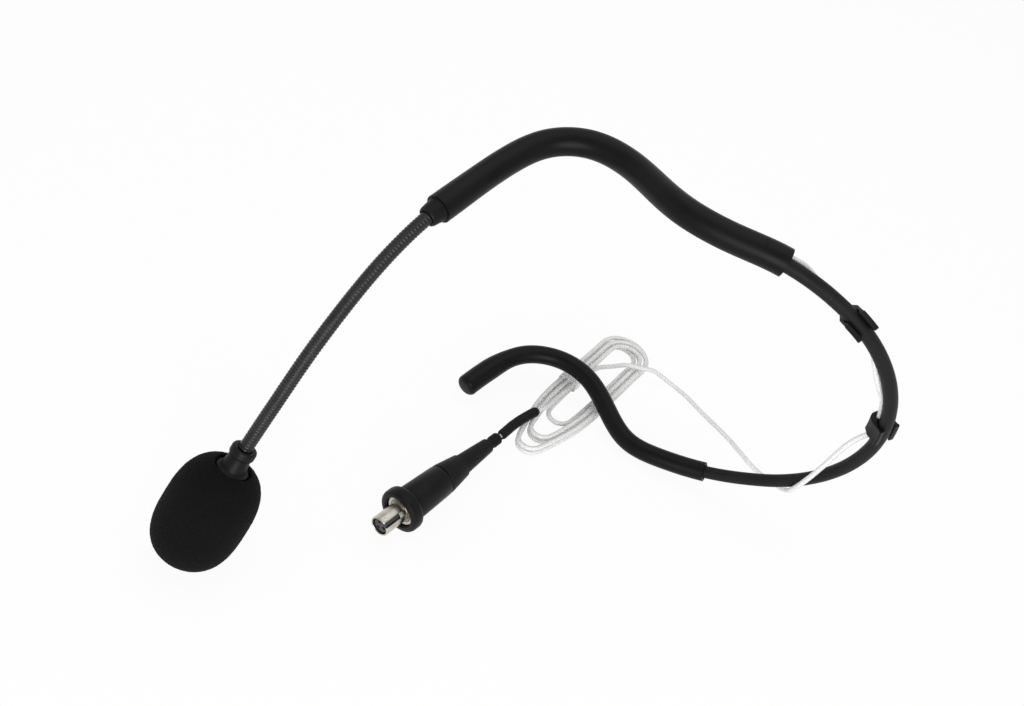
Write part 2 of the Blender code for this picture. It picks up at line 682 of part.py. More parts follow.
# The coil lies under the plain arm, moved aside as far as the sleeve over it needs
under = to_table @ ARMS[1].at(ARM_END - COIL_BACK)
winds_line = np.array([tuple(p) for p in winds])
winds_line = np.concatenate([np.linspace(a, b, 8)[:-1] for a, b in zip(winds_line, winds_line[1:])])
aside = COIL_ASIDE
while True:
    coil_mid = Vector((under.x, under.y, 0)) + COIL_V * aside
    apart = (winds_line + np.array(coil_mid))[:, None, :] - arm_line[None, ::2]
    if np.linalg.norm(apart, axis=2).min() >= SLEEVE_R["right"] + CABLE_D / 2 + PASS:
        break
    aside += 0.0001


def on_coil(u, v, z):
    return coil_mid + COIL_U * u + COIL_V * v + Vector((0, 0, z))


coil_points = [coil_mid + p for p in winds]
cloud = np.array([tuple(p) for p in coil_points])
fine = np.concatenate([np.linspace(a, b, 6)[:-1] for a, b in zip(cloud, cloud[1:])])
least = min(float(np.linalg.norm(fine[k + 40:] - fine[k], axis=1).min()) for k in range(len(fine) - 41))
print("coil loops", round(loops, 2), "aside mm", round(1000 * aside, 2), "least gap to itself mm", round(1000 * (least - CABLE_D), 3))

first_dir = (coil_points[0] - coil_points[1]).normalized()
last_dir = (coil_points[-1] - coil_points[-2]).normalized()
coil_points = [coil_points[0] + first_dir * CABLE_D] + coil_points + [coil_points[-1] + last_dir * CABLE_D]
finish(cord("cable_coil", coil_points, CABLE_D, 1), "cable")

# The lead falls from the nape clip past the lower arm and runs to the coil, over its right side
leave = math.radians(CLIP_NAPE_AT) * NAPE_R - CLIP_LENGTH / 2 - 0.0018
held = [to_table @ cable_at(s) for s in stations(leave, FLEX_A)][::-1]
FALL = [                 # along the plain arm, turn round it from inward to up, room left to the band
    (0.0085, 10.1, 0.00219), (0.0153, -7.7, 0.00397), (0.0257, -24.0, 0.00438), (0.0342, -41.3, 0.00468),
    (0.0413, -56.2, 0.00426), (0.0491, -90.3, 0.00103), (0.0521, -130.6, 0.00030), (0.0572, -192.3, 0.00399),
    (0.0638, -211.3, 0.01430),
]
fall = []
for s, bearing, room in FALL:
    here, ahead, up, inward = along(-s)
    bearing = math.radians(bearing)
    away = inward * math.cos(bearing) + up * math.sin(bearing)
    fall.append(to_table @ (here + away * (BAND_D / 2 + CABLE_D / 2 + room)))
FLOOR = CABLE_D / 2 + 0.0003
over = HIGH + CABLE_D + 0.00045
landing = [
    Vector((NAPE.x - 0.0137, NAPE.y + 0.0352, FLOOR + 0.0026)),
    Vector((NAPE.x - 0.0170, NAPE.y + 0.0393, FLOOR + 0.0004)),
    Vector((NAPE.x - 0.0251, NAPE.y + 0.0478, FLOOR)),
    on_coil(0.0275, -0.0599, FLOOR), on_coil(0.0334, -0.0421, FLOOR), on_coil(0.0368, -0.0322, FLOOR),
    on_coil(0.0375, -0.0250, FLOOR + 0.0006), on_coil(0.0360, -0.0192, 0.65 * over),
    on_coil(0.0334, -0.0155, over), on_coil(0.0308, -0.0120, over + 0.0002),
    on_coil(0.0288, -0.0080, over + 0.0001), on_coil(0.0272, -0.0042, 0.85 * over),
    on_coil(0.0250, -0.0002, 0.50 * over), on_coil(0.0212, 0.0040, LOW + 0.0004),
]
ends_at = coil_points[0] + first_dir * JOIN
lead = Route(held + fall + landing + [ends_at + first_dir * 0.002, ends_at])
lead_points = lead.spaced(0, lead.length, 0.0052)
band_room = BAND_D / 2 + CABLE_D / 2 + PASS
for k, point in enumerate(lead_points):
    away = np.array(point) - arm_line
    reach = np.linalg.norm(away, axis=1)
    if reach.min() < band_room:
        lead_points[k] = point + Vector(away[reach.argmin()]).normalized() * (band_room - reach.min())
print("cable lead mm", round(1000 * lead.length, 1))
finish(cord("cable_lead", lead_points, CABLE_D), "cable")

# Plug frame: local Z runs from the nose to the boot's tail
plug_axis = Vector((math.cos(math.radians(PLUG_TURN)), math.sin(math.radians(PLUG_TURN)), 0))
plug_at = on_coil(-0.1188, 0.0124, RING_D / 2 + 0.0001)
plug = empty("plug_frame", plug_at, None, facing(plug_axis))
ring_joint = empty("coupling_axis", (0, 0, 0), plug)

starts_at = coil_points[-1] + last_dir * JOIN
shrink_z = HIGH + CABLE_D / 2 + GAP + SHRINK_D / 2
tail_in = plug_at + plug_axis * (BOOT_END - 0.004)
gap_at = plug_at + plug_axis * (BOOT_END + 0.0022)
rise = [
    starts_at, starts_at + last_dir * 0.003 + Vector((0, 0, 0.0002)),
    on_coil(-0.0215, 0.0052, HIGH + 0.0019), on_coil(-0.0265, 0.0058, shrink_z - 0.0001),
    on_coil(-0.0330, 0.0070, shrink_z + 0.0004), on_coil(-0.0420, 0.0079, shrink_z + 0.0008),
    gap_at, tail_in, tail_in - plug_axis * 0.012,
]
tail = Route(rise)
finish(cord("cable_tail", tail.spaced(0, tail.length, 0.0052), CABLE_D), "cable")

spots = tail.spaced(0, tail.length, 0.0052)
shrink = [p for p in spots
          if COIL_U.dot(p - coil_mid) < -0.0252 and plug_axis.dot(p - plug_at) > BOOT_END + 0.0015]
bore = CABLE_D / 2 + GAP
piece = hose("heat_shrink", shrink, [SHRINK_D / 2] * len(shrink), [bore] * len(shrink), 12)
finish(piece, "rubber")

# Clear tie round the left side of the coil
lap_in = COIL_HALF_WIDTH - 2.5 * COIL_STEP
lap_out = COIL_HALF_WIDTH - 0.5 * COIL_STEP
tie_in = [
    (lap_in - CABLE_D / 2 - GAP - 0.0004, LOW - CABLE_D / 2 - 0.00015),
    (lap_out + CABLE_D / 2 + GAP, LOW - CABLE_D / 2 - 0.00015),
    (lap_out + CABLE_D / 2 + GAP, HIGH + CABLE_D / 2 + GAP),
    (lap_in - CABLE_D / 2 - GAP - 0.0004, HIGH + CABLE_D / 2 + GAP),
]
tie_out = []
for k, (v, z) in enumerate(tie_in):
    wall_v = -TIE_WALL if k in (0, 3) else TIE_WALL
    wall_z = -TIE_WALL if k < 2 else TIE_WALL
    tie_out.append((v + wall_v, z + wall_z))
bm = bmesh.new()
sheets = []
for u in (TIE_AT - TIE_WIDTH / 2, TIE_AT + TIE_WIDTH / 2):
    sheets.append([[bm.verts.new(on_coil(u, v, z)) for v, z in loop] for loop in (tie_out, tie_in)])
for k in range(4):
    n = (k + 1) % 4
    for w in (0, 1):
        bm.faces.new((sheets[0][w][k], sheets[0][w][n], sheets[1][w][n], sheets[1][w][k]))
    for s in (0, 1):
        bm.faces.new((sheets[s][0][k], sheets[s][0][n], sheets[s][1][n], sheets[s][1][k]))
finish(mesh_object("coil_tie", bm), "clear")


def keyhole(name, at_degrees, lobe, parent, shift):
    """Clip swept along the nape arc: a band bore with a mouth, a cable lobe behind it."""
    bore = BAND_D / 2 + GAP
    lobe_r = CABLE_D / 2 + GAP
    mouth = CLIP_MOUTH / 2
    side = bore + CLIP_WALL
    back = CABLE_OFF + lobe_r + CLIP_BACK
    neck = (CABLE_OFF ** 2 + bore ** 2 - lobe_r ** 2) / (2 * CABLE_OFF)
    half = [(-bore - 0.0008, mouth + 0.0004)]
    a0 = math.atan2(mouth, -math.sqrt(bore ** 2 - mouth ** 2))
    a1 = math.acos(neck / bore)
    for k in range(7):
        a = a0 + (a1 - a0) * k / 6
        half.append((bore * math.cos(a), bore * math.sin(a)))
    b0 = math.acos((neck - CABLE_OFF) / lobe_r)
    for k in range(1, 5):
        a = b0 * (1 - k / 4)
        half.append((CABLE_OFF + lobe_r * math.cos(a), lobe_r * math.sin(a)))
    outside = [
        (back, 0.0012), (back - 0.0009, 0.0026), (CABLE_OFF - 0.0012, side), (-bore + 0.0004, side),
        (-bore - 0.0003, side + 0.0003), (-bore - 0.0009, side + 0.0001),
    ]
    inner = half + [(q, -p) for q, p in half[-2::-1]]
    shape = inner + [(q, -p) for q, p in outside[::-1]] + outside
    r = math.radians(lobe)
    bm = bmesh.new()
    loops = []
    span = CLIP_LENGTH / NAPE_R
    for k in range(4):
        a = math.radians(at_degrees) + span * (k / 3 - 0.5)
        here = Vector((-NAPE_R * math.sin(a), NAPE_R * (1 - math.cos(a)), 0))
        inward = Vector((math.sin(a), math.cos(a), 0))
        up = Vector((0, 0, 1))
        deep = inward * math.cos(r) + up * math.sin(r)
        wide = up * math.cos(r) - inward * math.sin(r)
        loops.append([bm.verts.new(here + deep * q + wide * p) for q, p in shape])
    n = len(shape)
    for a, b in zip(loops, loops[1:]):
        for k in range(n):
            bm.faces.new((a[k], a[(k + 1) % n], b[(k + 1) % n], b[k]))
    bm.faces.new(loops[0])
    bm.faces.new(loops[-1])
    return finish(mesh_object(name, bm), "plastic", parent, shift)


keyhole("clip_left", CLIP_LEFT_AT, LOBE_LEFT, clip_left_joint, -arc_centre)
keyhole("clip_nape", CLIP_NAPE_AT, LOBE_NAPE, clip_nape_joint, -arc_centre)

# Plug: metal nose with its insert and contacts, coupling ring, back shell and stepped boot
nr = NOSE_D / 2
NOSE_BORE = nr - NOSE_WALL
BACK_R = BACK_D / 2
SHELL_END = RING_TO + NOSE_INSIDE
nose = turned("plug_shell", [(NOSE_BORE, 0), (nr, 0), (nr, SHELL_END), (NOSE_BORE, SHELL_END)], 24)
bm = bmesh.new()
slot = Matrix.Translation((nr, 0, 0)) @ Matrix.Diagonal((nr, KEYWAY_WIDTH, 2 * KEYWAY_LENGTH, 1))
bmesh.ops.create_cube(bm, size=1.0, matrix=slot)
cut_with(nose, "nose_keyway", bm, plug)
finish(nose, "metal", plug)

ir = NOSE_BORE - GAP - 0.0001
insert = turned("plug_insert", [(0, INSERT_FROM), (ir, INSERT_FROM), (ir, INSERT_TO), (0, INSERT_TO)], 20)
pins = []
for k in range(3):
    a = math.radians(120 * k + 60)
    pins.append((PIN_REACH * math.cos(a), PIN_REACH * math.sin(a)))
middle = (INSERT_FROM + INSERT_TO) / 2
drilled(insert, "insert_holes", [(x, y, middle) for x, y in pins], PIN_HOLE_D, 2 * INSERT_TO, 10, plug)
finish(insert, "insert", plug)
pin_r = PIN_HOLE_D / 2 * math.cos(math.pi / 10) - GAP
pin_to = INSERT_TO + PIN_BEHIND
for k, (x, y) in enumerate(pins):
    outline = [(0, PIN_FROM), (pin_r, PIN_FROM), (pin_r, pin_to), (0, pin_to)]
    finish(turned("plug_contact_%d" % (k + 1), outline, 8), "gold", plug, (x, y, 0))

rr = RING_D / 2
thread_in = nr + THREAD_ROOM
thread_out = thread_in + THREAD_WALL
ring = [
    (thread_out + GAP, RING_FROM), (rr - 0.0012, RING_FROM), (rr - 0.0003, RING_FROM + 0.0004),
    (rr, RING_FROM + 0.0012), (rr, RING_TO - 0.0009), (rr - 0.0008, RING_TO), (thread_out + GAP, RING_TO),
]
finish(turned("coupling_ring", ring, 24), "plastic", ring_joint)
liner = [
    (thread_in, RING_FROM + 0.0005), (thread_out, RING_FROM + 0.0005), (thread_out, RING_TO),
    (thread_in, RING_TO),
]
finish(turned("coupling_thread", liner, 16), "metal", ring_joint)

back_from = RING_TO + GAP
back = [
    (nr + GAP, back_from), (BACK_R - 0.0003, back_from), (BACK_R, back_from + 0.0003),
    (BACK_R - 0.0006, BOOT_FROM - 0.0004), (BACK_R - 0.0010, BOOT_FROM), (nr + GAP, BOOT_FROM),
]
finish(turned("plug_back", back, 16), "plastic", plug)

b0 = BOOT_FROM + GAP
boot_bore = bore + 0.0002
boot = [
    (boot_bore, BOOT_FROM - BOOT_STUB), (nr - 0.0002, BOOT_FROM - BOOT_STUB), (nr - 0.0002, b0),
    (BOOT_BASE_D / 2, b0), (BOOT_BASE_D / 2 - 0.0001, b0 + 0.0016),
    (BOOT_STEP_D / 2, BOOT_STEP), (BOOT_CONE_D / 2, BOOT_STEP + 0.0003),
    (BOOT_NECK_D / 2 + 0.0003, BOOT_NECK - 0.0006), (BOOT_NECK_D / 2, BOOT_NECK),
    (BOOT_WAIST_D / 2, BOOT_NECK), (BOOT_WAIST_D / 2, BOOT_NECK + 0.0016),
    (BOOT_TIP_D / 2, BOOT_NECK + 0.0022), (BOOT_TIP_D / 2, BOOT_END - 0.0004),
    (BOOT_TIP_D / 2 - 0.00035, BOOT_END), (boot_bore, BOOT_END),
]
finish(turned("plug_boot", boot, 16), "rubber", plug)

bpy.context.view_layer.update()
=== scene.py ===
# %% [markdown]
# # A headset microphone, lying on a table
#
# This lesson dresses a finished mechanical model of a behind-the-neck headset microphone. The frame that
# is loaded first holds every piece at its true size and place, and knows which pieces move together. Here
# each visible piece is modelled again with a fine surface, given its material, and tied to the body it
# moves with. Lengths are metres and +Z is up.

# %% Load the frame
import math

import bpy
import numpy as np
from mathutils import Euler, Matrix, Vector


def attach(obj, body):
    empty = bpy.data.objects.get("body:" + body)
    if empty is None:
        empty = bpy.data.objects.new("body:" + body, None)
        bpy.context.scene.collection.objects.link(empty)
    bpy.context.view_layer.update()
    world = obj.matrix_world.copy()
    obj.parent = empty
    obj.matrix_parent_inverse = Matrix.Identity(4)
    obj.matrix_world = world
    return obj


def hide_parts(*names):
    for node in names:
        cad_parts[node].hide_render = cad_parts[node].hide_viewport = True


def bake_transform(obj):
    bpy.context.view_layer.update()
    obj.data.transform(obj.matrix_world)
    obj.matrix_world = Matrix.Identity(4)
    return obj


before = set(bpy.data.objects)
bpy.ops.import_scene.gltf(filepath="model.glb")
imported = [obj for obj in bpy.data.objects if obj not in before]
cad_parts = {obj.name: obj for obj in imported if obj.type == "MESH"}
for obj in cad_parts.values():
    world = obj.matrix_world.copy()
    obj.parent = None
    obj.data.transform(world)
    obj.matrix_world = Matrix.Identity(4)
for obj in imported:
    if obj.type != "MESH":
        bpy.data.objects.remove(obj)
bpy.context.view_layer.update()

# %% [markdown]
# ## Camera
#
# The photograph looks down on the headset from the windscreen's side, with the camera rolled so that the
# boom runs up to the right. A lens of about 39 mm on a 36 mm sensor gives the same perspective.

# %% Camera
CAMERA_AT = (-0.0179, -0.2827, 0.3188)
CAMERA_TURN = [math.radians(a) for a in (47.739, -11.687, 10.43)]
LENS_MM, SENSOR_MM = 38.672, 36

bpy.ops.object.select_all(action="DESELECT")
bpy.ops.object.camera_add(location=CAMERA_AT, rotation=CAMERA_TURN)
camera = bpy.context.object
camera.data.lens = LENS_MM
camera.data.sensor_width = SENSOR_MM
camera.data.clip_start = 0.01
bpy.context.scene.camera = camera
bpy.context.scene.view_settings.view_transform = "Standard"
print("camera is", round(camera.location.length, 3), "m from the origin")

# %% [markdown]
# ## Lines that the headset follows
#
# Both arms, the boom and the cable are long thin things, so each is one smooth line with a section swept
# along it. A natural spline through a few points gives the same line that the frame was drawn on. The
# points are in the wearer's own frame, x to the right, y forward and z up, which is then laid on the table.


# %% A smooth line read by its length
class Line:
    """A natural cubic spline through points, read by the distance along it."""

    def __init__(self, points):
        pts = np.array([tuple(p) for p in points], float)
        gap = np.linalg.norm(np.diff(pts, axis=0), axis=1)
        count = len(pts)
        system = np.eye(count)
        wanted = np.zeros((count, 3))
        for i in range(1, count - 1):
            system[i, i - 1:i + 2] = gap[i - 1], 2 * (gap[i - 1] + gap[i]), gap[i]
            wanted[i] = 6 * ((pts[i + 1] - pts[i]) / gap[i] - (pts[i] - pts[i - 1]) / gap[i - 1])
        bend = np.linalg.solve(system, wanted)
        fine = []
        self.marks = []
        for i in range(count - 1):
            self.marks.append(len(fine))
            for t in np.arange(0, 1, 0.02):
                a, b = 1 - t, t
                curve = (a ** 3 - a) * bend[i] + (b ** 3 - b) * bend[i + 1]
                fine.append(a * pts[i] + b * pts[i + 1] + curve * gap[i] ** 2 / 6)
        self.marks.append(len(fine))
        fine.append(pts[-1])
        self.fine = np.array(fine)
        self.run = np.concatenate([[0.0], np.cumsum(np.linalg.norm(np.diff(self.fine, axis=0), axis=1))])
        self.marks = [float(self.run[m]) for m in self.marks]
        self.length = float(self.run[-1])

    def at(self, s):
        return Vector([float(np.interp(s, self.run, self.fine[:, k])) for k in range(3)])

    def heading(self, s):
        return (self.at(min(s + 1e-4, self.length)) - self.at(max(s - 1e-4, 0))).normalized()


def clamp(x):
    """Keep a share between 0 and 1."""
    return min(max(x, 0.0), 1.0)


def ease(x):
    """Smooth step from 0 to 1."""
    x = clamp(x)
    return x * x * (3 - 2 * x)


# %% The two arms
HEAD_HALF = 0.066
ARCH_FORWARD = 0.126
ARCH_RISE = 0.023
NAPE_R = 0.94 * HEAD_HALF
NAPE_ARC = 61.0
NAPE_STEPS = 10
ARM_SHAPE = [
    (0.953, 0.406, 0.0), (0.992, 0.552, -0.017), (1.006, 0.678, 0.096), (0.962, 0.780, 0.483),
    (0.923, 0.885, 0.887), (0.917, 1.002, 1.004), (0.903, 1.108, 0.761), (0.889, 1.177, 0.191),
    (0.879, 1.225, -0.504), (0.879, 1.267, -1.243),
]
NAPE = Vector((0.1128, 0.0086, 0.072846))
tilt = Euler([math.radians(a) for a in (-13.43, 76.71, 63.72)]).to_matrix()
to_table = Matrix.Translation(NAPE) @ tilt.to_4x4()


def arm_line(side):
    points = []
    for k in range(NAPE_STEPS + 1):
        a = math.radians(NAPE_ARC * k / NAPE_STEPS)
        points.append((side * NAPE_R * math.sin(a), NAPE_R * (1 - math.cos(a)), 0))
    for x, y, z in ARM_SHAPE:
        points.append((side * x * HEAD_HALF, y * ARCH_FORWARD, z * ARCH_RISE))
    return Line(points)


CUT_LEFT, CUT_PLAIN = 0.00517, 0.02116      # how far each arm stops short of the end of its line
BAND_IN_SLEEVE = 0.012
ARMS = {1: arm_line(1), -1: arm_line(-1)}
ARM_END = ARMS[1].length
SLEEVE_FROM = ARMS[1].marks[NAPE_STEPS + 1]
LEFT_FRONT = ARM_END - CUT_LEFT
PLAIN_TIP = ARM_END - CUT_PLAIN
NECK_FROM = math.radians(NAPE_ARC) * NAPE_R
BAND_END = SLEEVE_FROM + BAND_IN_SLEEVE
print("arm length mm", round(1000 * ARM_END, 1), "sleeve starts at", round(1000 * SLEEVE_FROM, 1))

# %% Where band and cable lie along the arms
BAND_D = 0.005
CABLE_D = 0.002
CLEAR = 0.0003
CABLE_OFF = BAND_D / 2 + CABLE_D / 2 + CLEAR
CLIP_LENGTH = 0.0086
CLIP_LEFT_AT, CLIP_NAPE_AT = 51.8, 2.8
LOBE_LEFT, LOBE_NAPE, CABLE_DIP = 50.0, 42.0, 40.0
CABLE_SLACK = 0.0011     # how far the cable bows off the band between the left clip and the sleeve
BAND_DROP = 0.0008       # how far the band lies below the middle of the boom-side sleeve
FLEX_A = math.radians(8.6) * NAPE_R
FLEX_B = math.radians(43.2) * NAPE_R


def along(s):
    """Boom side positive: point, heading away from the nape, up and inward, in the wearer's frame."""
    side = -1 if s >= 0 else 1
    here = ARMS[side].at(abs(s))
    ahead = ARMS[side].heading(abs(s)) if abs(s) > 2e-4 else Vector((side, 0, 0))
    up = Vector((0, 0, 1))
    up = (up - ahead * up.dot(ahead)).normalized()
    return here, ahead, up, ahead.cross(up) * -side


def toward_sleeve(s):
    """0 along the nape, rising to 1 where the boom-side sleeve starts."""
    return ease((s - NECK_FROM) / (SLEEVE_FROM - NECK_FROM))


def band_at(s):
    """Middle of the band, which sinks a little on its way into the boom-side sleeve."""
    here, _, up, _ = along(s)
    if s > 0:
        here = here - up * BAND_DROP * toward_sleeve(s)
    return here


def cable_at(s):
    """The cable lies against the band, inside it along the nape, and bows up a little before the sleeve."""
    _, _, up, inward = along(s)
    first = math.radians(CLIP_NAPE_AT) * NAPE_R + CLIP_LENGTH * 1.2
    last = math.radians(CLIP_LEFT_AT) * NAPE_R - CLIP_LENGTH * 1.2
    between = clamp((s - first) / (last - first))
    turn = LOBE_NAPE + (LOBE_LEFT - LOBE_NAPE) * ease(between)
    turn -= CABLE_DIP * math.sin(math.pi * between) ** 2
    turn += (90 - LOBE_LEFT) * toward_sleeve(s)
    turn = math.radians(turn)
    past = math.radians(CLIP_LEFT_AT) * NAPE_R + CLIP_LENGTH
    slack = clamp((s - past) / (SLEEVE_FROM - past))
    away = CABLE_OFF + CABLE_SLACK * math.sin(math.pi * slack ** 1.5) ** 2
    return band_at(s) + (inward * math.cos(turn) + up * math.sin(turn)) * away


def on_table(points):
    return [to_table @ Vector(p) for p in points]


print("nape at", [round(x, 4) for x in to_table @ band_at(0.0)])

# %% [markdown]
# ## Small tools for modelling
#
# Operators act on whatever is selected, so every helper starts by clearing the selection. A long piece is
# drawn as a path with a round bevel and turned into a mesh. A round piece is drawn as half of its section,
# one extruded point after another, and spun about the Z axis.


# %% Selecting and placing
def only(obj=None):
    """Leave edit mode and select one object, or nothing."""
    if bpy.context.mode != "OBJECT":
        bpy.ops.object.mode_set(mode="OBJECT")
    bpy.ops.object.select_all(action="DESELECT")
    if obj is not None:
        obj.select_set(True)
        bpy.context.view_layer.objects.active = obj


def settle(obj, matrix=None):
    """Put a piece in its place and work the place into its mesh."""
    only(obj)
    if matrix is not None:
        obj.matrix_world = matrix
    bpy.ops.object.transform_apply(location=True, rotation=True, scale=True)


def tidy_mesh(obj, angle=35, merge=1e-6):
    """Merge doubles, turn the faces outward and shade smooth up to an angle."""
    only(obj)
    bpy.ops.object.mode_set(mode="EDIT")
    bpy.ops.mesh.select_all(action="SELECT")
    bpy.ops.mesh.remove_doubles(threshold=merge)
    bpy.ops.mesh.normals_make_consistent(inside=False)
    bpy.ops.object.mode_set(mode="OBJECT")
    bpy.ops.object.shade_smooth_by_angle(angle=math.radians(angle))
    return obj


def apply_modifiers(obj):
    only(obj)
    for name in [m.name for m in obj.modifiers]:
        bpy.ops.object.modifier_apply(modifier=name)


def frame_at(origin, direction):
    """A matrix that puts local Z along a direction."""
    turn = Vector(direction).to_track_quat("Z", "Y").to_matrix().to_4x4()
    return Matrix.Translation(Vector(origin)) @ turn


# %% Swept and turned pieces
def path(name, points, diameter, sides=24, radii=None, keep_curve=False):
    """A round bar along points; radii are given where the thickness changes."""
    only()
    bpy.ops.curve.primitive_nurbs_path_add()
    obj = bpy.context.object
    obj.name = obj.data.name = name
    curve = obj.data
    curve.splines.remove(curve.splines[0])
    line = curve.splines.new("POLY")
    line.points.add(len(points) - 1)
    for k, point in enumerate(points):
        line.points[k].co = (*point, 1)
        line.points[k].radius = 1 if radii is None else radii[k] / (diameter / 2)
    curve.dimensions = "3D"
    curve.twist_mode = "MINIMUM"
    curve.bevel_depth = diameter / 2
    curve.bevel_resolution = sides // 2 - 2
    curve.use_fill_caps = True
    if keep_curve:
        return obj
    only(obj)
    bpy.ops.object.convert(target="MESH")
    return tidy_mesh(bpy.context.object, 40)


def draw_outline(name, points):
    """A new object, left in edit mode, with a line extruded from each point to the next."""
    only()
    bpy.ops.mesh.primitive_plane_add(size=0.001)
    obj = bpy.context.object
    obj.name = obj.data.name = name
    bpy.ops.object.mode_set(mode="EDIT")
    bpy.ops.mesh.select_mode(type="VERT")
    bpy.ops.mesh.select_all(action="SELECT")
    bpy.ops.mesh.merge(type="CENTER")
    bpy.ops.transform.translate(value=points[0])
    for here, there in zip(points, points[1:]):
        step = [b - a for a, b in zip(here, there)]
        bpy.ops.mesh.extrude_vertices_move(TRANSFORM_OT_translate={"value": step})
    bpy.ops.mesh.select_all(action="SELECT")
    return obj


def lathe(name, outline, steps=64, angle=35):
    """Spin an outline of (radius, height) points round Z; it is closed unless it starts on the axis."""
    ring = list(outline) if outline[0][0] == 0 else list(outline) + [outline[0]]
    obj = draw_outline(name, [(r, 0, z) for r, z in ring])
    bpy.ops.mesh.spin(steps=steps, angle=2 * math.pi, center=(0, 0, 0), axis=(0, 0, 1))
    return tidy_mesh(obj, angle, 2e-6)


# %% Opened, softened and punched pieces
def pick_faces(obj, test):
    """Go into edit mode with only those faces selected that pass a test."""
    only(obj)
    bpy.ops.object.mode_set(mode="EDIT")
    bpy.ops.mesh.select_mode(type="FACE")
    bpy.ops.mesh.select_all(action="DESELECT")
    bpy.ops.object.mode_set(mode="OBJECT")
    for face in obj.data.polygons:
        face.select = test(face)
    bpy.ops.object.mode_set(mode="EDIT")


def hollow_end(obj, centre, heading, wall, depth):
    """Open the flat end of a swept piece: inset its cap and push the middle in."""
    def on_cap(face):
        flat = face.normal.dot(heading) < -0.9
        return flat and abs((Vector(face.center) - centre).dot(heading)) < 0.0004

    pick_faces(obj, on_cap)
    bpy.ops.mesh.dissolve_faces()
    bpy.ops.mesh.inset(thickness=wall)
    bpy.ops.mesh.extrude_region_move(TRANSFORM_OT_translate={"value": Vector(heading) * depth})
    bpy.ops.object.mode_set(mode="OBJECT")
    bpy.ops.object.shade_smooth_by_angle(angle=math.radians(40))


def rounded(obj, width, segments=3, angle=30):
    """Soften the edges of a piece with an applied bevel."""
    bevel = obj.modifiers.new("edges", "BEVEL")
    bevel.width = width
    bevel.segments = segments
    bevel.limit_method = "ANGLE"
    bevel.angle_limit = math.radians(angle)
    apply_modifiers(obj)
    tidy_mesh(obj, 40)


def cut(obj, tool):
    """Take the shape of a tool out of a piece."""
    hole = obj.modifiers.new("cut", "BOOLEAN")
    hole.operation = "DIFFERENCE"
    hole.object = tool
    apply_modifiers(obj)


def spots_round(count, radius, first=0):
    """Points spread evenly round a circle, from a first angle in degrees."""
    turns = [math.radians(first + 360 * k / count) for k in range(count)]
    return [(radius * math.cos(a), radius * math.sin(a)) for a in turns]


def punch(obj, spots, radius, sides, depth, height):
    """Punch round holes into a piece at spots given as (x, y), about one height."""
    only()
    bpy.ops.mesh.primitive_cylinder_add(vertices=sides, radius=radius, depth=depth)
    tool = bpy.context.object
    for x, y in spots:
        tool.location = (x, y, height)
        cut(obj, tool)
    bpy.data.objects.remove(tool, do_unlink=True)
    tidy_mesh(obj)


# %% [markdown]
# ## Finishes
#
# Nothing here is one flat colour. Moulded plastic, rubber and plated metal all have a fine grain that
# breaks up the shine, and slow patches where hands and tools have polished or dulled them. Both come from
# one node group that reads Object coordinates, so the grain stays at its true size on every piece.


# %% The shared grain group
def make_grain_group():
    group = bpy.data.node_groups.new("fine_grain", "ShaderNodeTree")
    face = group.interface
    face.new_socket("Grain scale", in_out="INPUT", socket_type="NodeSocketFloat")
    face.new_socket("Patch scale", in_out="INPUT", socket_type="NodeSocketFloat")
    face.new_socket("Height", in_out="OUTPUT", socket_type="NodeSocketFloat")
    face.new_socket("Patch", in_out="OUTPUT", socket_type="NodeSocketFloat")
    nodes, links = group.nodes, group.links
    inside = nodes.new("NodeGroupInput")
    outside = nodes.new("NodeGroupOutput")
    place = nodes.new("ShaderNodeTexCoord")
    grain = nodes.new("ShaderNodeTexNoise")
    grain.inputs["Detail"].default_value = 3
    patch = nodes.new("ShaderNodeTexNoise")
    patch.inputs["Detail"].default_value = 4
    patch.inputs["Roughness"].default_value = 0.6
    for noise, name in ((grain, "Grain scale"), (patch, "Patch scale")):
        links.new(place.outputs["Object"], noise.inputs["Vector"])
        links.new(inside.outputs[name], noise.inputs["Scale"])
    links.new(grain.outputs["Fac"], outside.inputs["Height"])
    links.new(patch.outputs["Fac"], outside.inputs["Patch"])
    return group


GRAIN = make_grain_group()


# %% Small tools for nodes
def new_material(name):
    """A material with nodes: itself, its node tree and its Principled shader."""
    mat = bpy.data.materials.new(name)
    mat.use_nodes = True
    return mat, mat.node_tree, mat.node_tree.nodes["Principled BSDF"]


def grain_node(tree, grain, patch):
    """The outputs of the shared grain, at a material's own scales."""
    group = tree.nodes.new("ShaderNodeGroup")
    group.node_tree = GRAIN
    group.inputs["Grain scale"].default_value = grain
    group.inputs["Patch scale"].default_value = patch
    return group.outputs


def map_range(tree, value, to_range, from_range=(0, 1)):
    """Carry a value from one range to another."""
    node = tree.nodes.new("ShaderNodeMapRange")
    tree.links.new(value, node.inputs["Value"])
    for end, source, target in zip(("Min", "Max"), from_range, to_range):
        node.inputs["From " + end].default_value = source
        node.inputs["To " + end].default_value = target
    return node.outputs["Result"]


def math_node(tree, operation, first, second):
    """Join two values by an operation such as MAXIMUM or MULTIPLY."""
    node = tree.nodes.new("ShaderNodeMath")
    node.operation = operation
    tree.links.new(first, node.inputs[0])
    tree.links.new(second, node.inputs[1])
    return node.outputs["Value"]


# %% A finish, and how a piece gets it
PATCH_RANGE = (0.35, 0.65)     # most of the patch noise lies between these values


